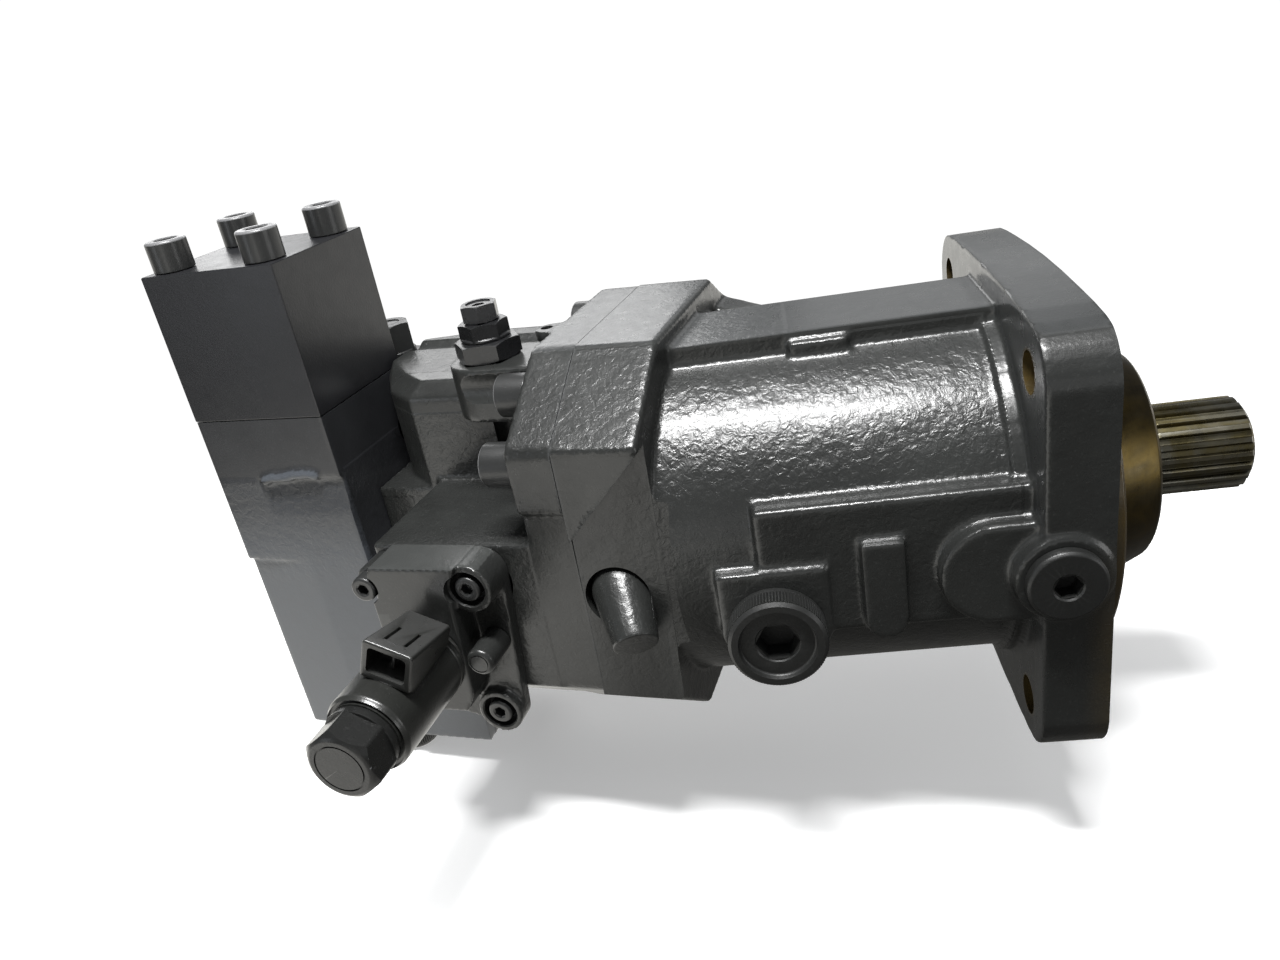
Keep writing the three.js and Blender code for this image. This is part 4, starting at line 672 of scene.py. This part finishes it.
# ------------------------------------------------------------------ shaft, bearings, seal
def shaft_group():
    N, R, R0, s = 21, 22.3, 20.0, 2 * pi / 21
    spl = []
    for i in range(N):
        a = 2 * pi * i / N
        spl += [(r * cos(a + f * s), r * sin(a + f * s)) for f, r in ((-.34, R0), (-.29, R0 + .15), (-.255, R0 + .8), (-.215, R0 + 1.5), (-.17, R - .12), (-.15, R), (.15, R), (.17, R - .12), (.215, R0 + 1.5), (.255, R0 + .8), (.29, R0 + .15), (.34, R0))]
    sp = prism(spl, 41, SHAFT_END - 1.5, "vw")
    both(sp, lathe([(0, 41), (23.6, 41), (23.6, SHAFT_END - 3.6), (20.6, SHAFT_END - 1.5), (0, SHAFT_END - 1.5)], 128))
    cut(sp, lathe([(20.0, 40), (26, 40), (26, 43), (24.5, 46.5), (22.4, 49), (19.9, 41), (20.0, 40)], 96))
    sh = lathe([(0, 80), (19.9, 80), (19.9, SHAFT_END - 1.4), (18.6, SHAFT_END), (0, SHAFT_END)], 96, f=.3)
    body = lathe([(0, 45.5), (21.9, 45.5), (22.9, 43), (24, 41.5), (24, 4), (27, 2), (27, -42), (33, -43), (33, -84), (58, -86), (60, -88), (60, -111), (0, -111)], 128, f=.5)
    add(sp, sh, body)
    cut(sp, lathe([(0, 68), (3.4, 70), (3.4, 84), (5, 86), (5, 91), (0, 91)], 40))
    cut(sp, lathe([(0, 88), (5, 88), (6.6, SHAFT_END + .1), (0, SHAFT_END + .1)], 40))
    def sock(r, y, z): return lathe([(0, PIVOT - 6), (r, PIVOT - 6)] + [(r * cos(a), PIVOT + r * sin(a)) for a in (math.radians(t) for t in range(0, 90, 6))] + [(0, PIVOT + r)], 40, "x", (0, y, z))
    for i in range(7):
        a = 2 * pi * (i + .5) / 7; cut(sp, sock(11.9, 43 * cos(a), 43 * sin(a)))
    cut(sp, sock(9.8, 0, 0))
    done(sp, "drive_shaft", 30)
    rp = cyl(59, PIVOT - 5, PIVOT - 1.3, 128, "x", f=.5)
    for i in range(7):
        a = 2 * pi * (i + .5) / 7
        cut(rp, lathe([(0, PIVOT - 6), (10.2, PIVOT - 6), (11.8, PIVOT), (0, PIVOT)], 56, "x", (0, 43 * cos(a), 43 * sin(a))))
    cut(rp, cyl(9.9, PIVOT - 6, PIVOT, 48)); done(rp, "retaining_plate")
    done(lathe([(45.7, -8), (45.7, -38), (38, -38), (41, -8), (45.7, -8)], 128, f=.5), "front_bearing_cup")
    done(lathe([(57.7, -49), (57.7, -82), (51.5, -82), (46.5, -49), (57.7, -49)], 128, f=.5), "rear_bearing_cup")
    def cone(name, prof, a, b, ra, rb, dr, n, cage):
        c = lathe(prof, 128, f=.4); parts = []
        for i in range(n):
            t = 2 * pi * i / n
            A, B = Vector((a, ra * cos(t), ra * sin(t))), Vector((b, rb * cos(t), rb * sin(t))); d = B - A
            ro = lathe([(0, 0), (dr[0], 0), (dr[1], d.length), (0, d.length)], 20, "z", f=.4)
            ro.data.transform(Matrix.Translation(A * .001) @ d.to_track_quat("Z", "Y").to_matrix().to_4x4()); parts.append(ro)
        merge(c, *parts, lathe(cage, 96))
        return done(c, name)
    cone("front_bearing_cone", [(27.4, -6), (27.4, -40), (29.2, -40), (29.2, -37.5), (28.6, -36.5), (31.4, -9.4), (34, -9), (34, -6), (27.4, -6)], -9.6, -36.8, 35.2, 32.6, (3.9, 3.2), 22, [(34.6, -8.2), (36.6, -8.6), (34.6, -38.6), (32.8, -38.6), (34.6, -8.2)])
    cone("rear_bearing_cone", [(33.5, -46), (33.5, -83), (42.6, -83), (42.6, -80.6), (40.6, -80), (36.6, -50), (37.6, -49.4), (37.6, -46), (33.5, -46)], -51, -79.4, 41.2, 45.4, (4.1, 4.7), 22, [(40.8, -49.4), (42.4, -49), (46.6, -81.6), (44.8, -81.6), (40.8, -49.4)])
    cv = lathe([(29.5, 9.3), (62, 9.3), (62, 11.6), (60.6, 14.2), (56.2, 24), (51.6, 34), (50.4, 36.4), (48.5, 38), (36.5, 38), (35.6, 36.6), (31, 36.4), (29.5, 35.6), (29.5, 9.3)], 160, f=.6)
    done(cv, "seal_cover", 26)
    done(lathe([(24.4, 24), (29.2, 24), (29.2, 36.5), (28.2, 37), (26.6, 36.2), (25.8, 33.4), (24.8, 33.6), (24.4, 32.6), (24.9, 31), (24.4, 29.4), (24.4, 24)], 96, f=.2), "shaft_seal")

def rotary_group():
    b = lathe([(0, -108), (46, -108), (46, -100), (61, -94), (61, -42), (59, -40), (0, -40)], 128, "x", rear=True, f=.6)
    for i in range(7):
        a = 2 * pi * (i + .5) / 7
        cut(b, cyl(15.4, -98, -35, 56, "x", (0, 41 * cos(a), 41 * sin(a)), True), cyl(4.5, -110, -96, 24, "x", (0, 34 * cos(a), 34 * sin(a)), True))
    cut(b, cyl(9.5, -110, -35, 48, "x", rear=True)); done(b, "cylinder_block")
    done(lathe([(0, -96), (8.5, -96), (9, -95), (9, -40), (6, -34), (6, -6.7)] + [(9 * sin(t), -9 * cos(t)) for t in np.linspace(.73, pi, 16)][:-1] + [(0, 9)], 64, "x", rear=True), "centre_pin")
    l = prism([(-108.3, -36)] + arc(0, 0, 124, 200.6, 159.4, 48) + [(-108.3, 36)], -50, 50, "uv", True, .6)
    cut(l, cyl(8.5, -130, -112, 40, "x", rear=True))
    for s in (1, -1):
        a0, a1 = (25, 155) if s > 0 else (205, 335)
        cut(l, prism(arc(0, 0, 39, a0, a1, 28) + arc(0, 0, 29, a1, a0, 28), -130, -100, "vw", True))
    done(l, "control_lens")
    p = lathe([(0, -34), (15.5, -34), (16.5, -33), (16.5, -28), (15.6, -27.6), (15.6, -25.6), (16.5, -25.2), (16.5, -12), (13, -11), (13, 11), (16.5, 12), (16.5, 25.2), (15.6, 25.6), (15.6, 27.6), (16.5, 28), (16.5, 33), (15.5, 34), (0, 34)], 80, "y", (-150, 0, 0), True)
    cut(p, cyl(6.3, -155, -130, 40, "x", rear=True)); done(p, "positioning_piston")
    done(lathe([(0, -154), (6, -154), (6, -127), (4.5, -124), (6.3, -120), (6.3, -117), (4.5, -115), (0, -115)], 56, "x", rear=True, f=.5), "positioning_pin")
    done(lathe([(0, -82), (14.5, -82), (14.5, -52), (9, -50), (9, -24), (14.5, -22), (14.5, 20), (9, 22), (9, 48), (14.5, 50), (14.5, 60), (0, 60)], 72, "z", (-290, -12, 0), True, f=.5), "counterbalance_spool")
    for i in range(7):
        a = 2 * pi * (i + .5) / 7; y, z = 43 * cos(a), 43 * sin(a)
        ball = lathe([(0, -11)] + [(11 * sin(t), -11 * cos(t)) for t in np.linspace(0, pi, 25)[1:-1]] + [(0, 11)], 48, "x", (PIVOT, y, z))
        # oil hole through the ball's crown
        cut(ball, cyl(1.2, PIVOT + 8, PIVOT + 12, 16, "x", (0, y, z)))
        done(ball, f"piston_ball_{i + 1}")
        R = 11.3; th = math.asin(6 / R)
        pr = [(0, -R)] + [(R * sin(t), -R * cos(t)) for t in np.linspace(0, th, 6)[1:]] + [(6, -18), (10, -38), (10.4, -58), (12.4, -60), (12.4, -63), (11.6, -63.3), (11.6, -64.7), (12.4, -65), (12.4, -66.5), (11.6, -66.8), (11.6, -68.2), (12.4, -68.5), (12.4, -70), (11.4, -72), (0, -72)]
        r_ = lathe(pr, 56, "x")
        r_.data.transform(Matrix.Translation((PIVOT * .001, y * .001, z * .001)) @ Matrix.Rotation(-BEND, 4, "Z"))
        done(r_, f"piston_rod_{i + 1}")

drive_housing(); port_plate(); valve_column(); port_block(); control_housing(); solenoid(); fasteners(); shaft_group(); rotary_group()

# ------------------------------------------------------------------ floor, light, camera
def floor():
    me = bpy.data.meshes.new("floor"); s = 30.0; z = -0.1585
    me.from_pydata([(-s, -s, z), (s, -s, z), (s, s, z), (-s, s, z)], [], [(0, 1, 2, 3)])
    ob = bpy.data.objects.new("floor", me); COL.objects.link(ob)
    m, t, b = nodes_of("pale_floor"); w = T(t)
    w.to(w.mix(w.noise(3, 3), (.84, .84, .84), (.88, .88, .88)), b.inputs["Base Color"]); b.inputs["Roughness"].default_value = .85
    b.inputs["Specular IOR Level"].default_value = 0
    b.inputs["Emission Color"].default_value = (1, 1, 1, 1); b.inputs["Emission Strength"].default_value = .30
    # towards the edges the floor runs out into an even white ground
    L = t.links.new
    ln = t.nodes.new("ShaderNodeVectorMath"); ln.operation = "LENGTH"; L(w.mapv((1, 1, 0), loc=(.2, 0, 0)), ln.inputs[0])
    def rng(v, a, b_, c, d):
        n = t.nodes.new("ShaderNodeMapRange"); n.interpolation_type = "SMOOTHSTEP"
        for k, x in zip((1, 2, 3, 4), (a, b_, c, d)): n.inputs[k].default_value = x
        L(v, n.inputs[0]); return n.outputs[0]
    e = t.nodes.new("ShaderNodeEmission"); e.inputs["Strength"].default_value = 1.05
    mx_ = t.nodes.new("ShaderNodeMixShader"); L(rng(ln.outputs["Value"], .42, 1.0, 0, 1), mx_.inputs[0]); L(b.outputs[0], mx_.inputs[1]); L(e.outputs[0], mx_.inputs[2])
    # painted light that the floor gives the object by glowing only for rays other than camera rays: bright behind and
    # to the left, dim in front on the right
    sx = t.nodes.new("ShaderNodeSeparateXYZ"); L(w.tc.outputs["Object"], sx.inputs[0])
    front = w.math("MULTIPLY", rng(sx.outputs[0], -.46, -.14, 1.95, .11), rng(sx.outputs[0], -.98, -.72, .08, 1.0))
    back = rng(sx.outputs[1], .05, .40, 0, 1.15)
    e2 = t.nodes.new("ShaderNodeEmission"); e2.inputs["Color"].default_value = (1.0, .985, .935, 1); L(w.math("MAXIMUM", front, back), e2.inputs["Strength"])
    lp_ = t.nodes.new("ShaderNodeLightPath"); m2 = t.nodes.new("ShaderNodeMixShader")
    L(lp_.outputs["Is Camera Ray"], m2.inputs[0]); L(e2.outputs[0], m2.inputs[1]); L(mx_.outputs[0], m2.inputs[2])
    L(m2.outputs[0], t.nodes["Material Output"].inputs[0])
    me.materials.append(m)
floor()

def area(name, loc, target, sx, sy, power, col=(1, 1, 1)):
    l = bpy.data.lights.new(name, "AREA"); l.shape = "RECTANGLE"; l.size = sx; l.size_y = sy; l.energy = power; l.color = col
    o = bpy.data.objects.new(name, l); COL.objects.link(o); o.location = loc
    o.rotation_euler = (Vector(target) - Vector(loc)).to_track_quat("-Z", "Y").to_euler()
    return o
area("top_box", (-0.20, -0.33, 1.20), (-0.12, 0, 0), .60, .15, 35)
area("back_box", (-0.75, 1.5, .80), (-0.15, 0, .05), 1.0, .7, 6.5)
area("back_left", (-1.45, 1.35, .40), (-0.42, 0, .15), .7, .5, 2.0)
area("back_right", (.22, 1.5, .62), (-0.05, 0, .08), .60, .5, .55)
area("left_strip", (-1.2, -.75, .12), (-0.3, 0, -.02), .30, .5, .9, (.90, .94, 1.0))
area("right_card", (1.1, -.55, .10), (-0.3, 0, .05), .6, .5, 2.6)
area("front_card", (-0.15, -1.7, .22), (-0.15, 0, .05), 1.9, .38, 1.4)
area("floor_wash", (-0.15, -.2, 1.9), (-0.15, 0, 0), 2.2, 2.2, 11)

wd = bpy.data.worlds.new("studio"); bpy.context.scene.world = wd; wd.use_nodes = True
nt = wd.node_tree; bg = nt.nodes["Background"]; out = nt.nodes["World Output"]
bg.inputs[0].default_value = (.94, .97, 1, 1); bg.inputs[1].default_value = .19
bg2 = nt.nodes.new("ShaderNodeBackground"); bg2.inputs[0].default_value = (1, 1, 1, 1); bg2.inputs[1].default_value = 1.05
lp = nt.nodes.new("ShaderNodeLightPath"); mx = nt.nodes.new("ShaderNodeMixShader")
nt.links.new(lp.outputs["Is Camera Ray"], mx.inputs[0]); nt.links.new(bg.outputs[0], mx.inputs[1]); nt.links.new(bg2.outputs[0], mx.inputs[2]); nt.links.new(mx.outputs[0], out.inputs[0])

cam = bpy.data.cameras.new("cam"); co = bpy.data.objects.new("cam", cam); COL.objects.link(co)
cam.sensor_fit = "HORIZONTAL"; cam.sensor_width = 36; cam.lens = 974.377 / 1280 * 36; cam.clip_start = .01; cam.clip_end = 50
r_, u_, f_ = Vector((0.98233, 0.08798, -0.16521)), Vector((0.11165, 0.43305, 0.89443)), Vector((-0.15023, 0.89707, -0.41557))
mt = Matrix(((r_[0], u_[0], -f_[0], -.125370), (r_[1], u_[1], -f_[1], -.456993), (r_[2], u_[2], -f_[2], .226708), (0, 0, 0, 1)))
co.matrix_world = mt
bpy.context.scene.camera = co
bpy.context.scene.view_settings.view_transform = "Standard"
bpy.context.scene.view_settings.look = "None"
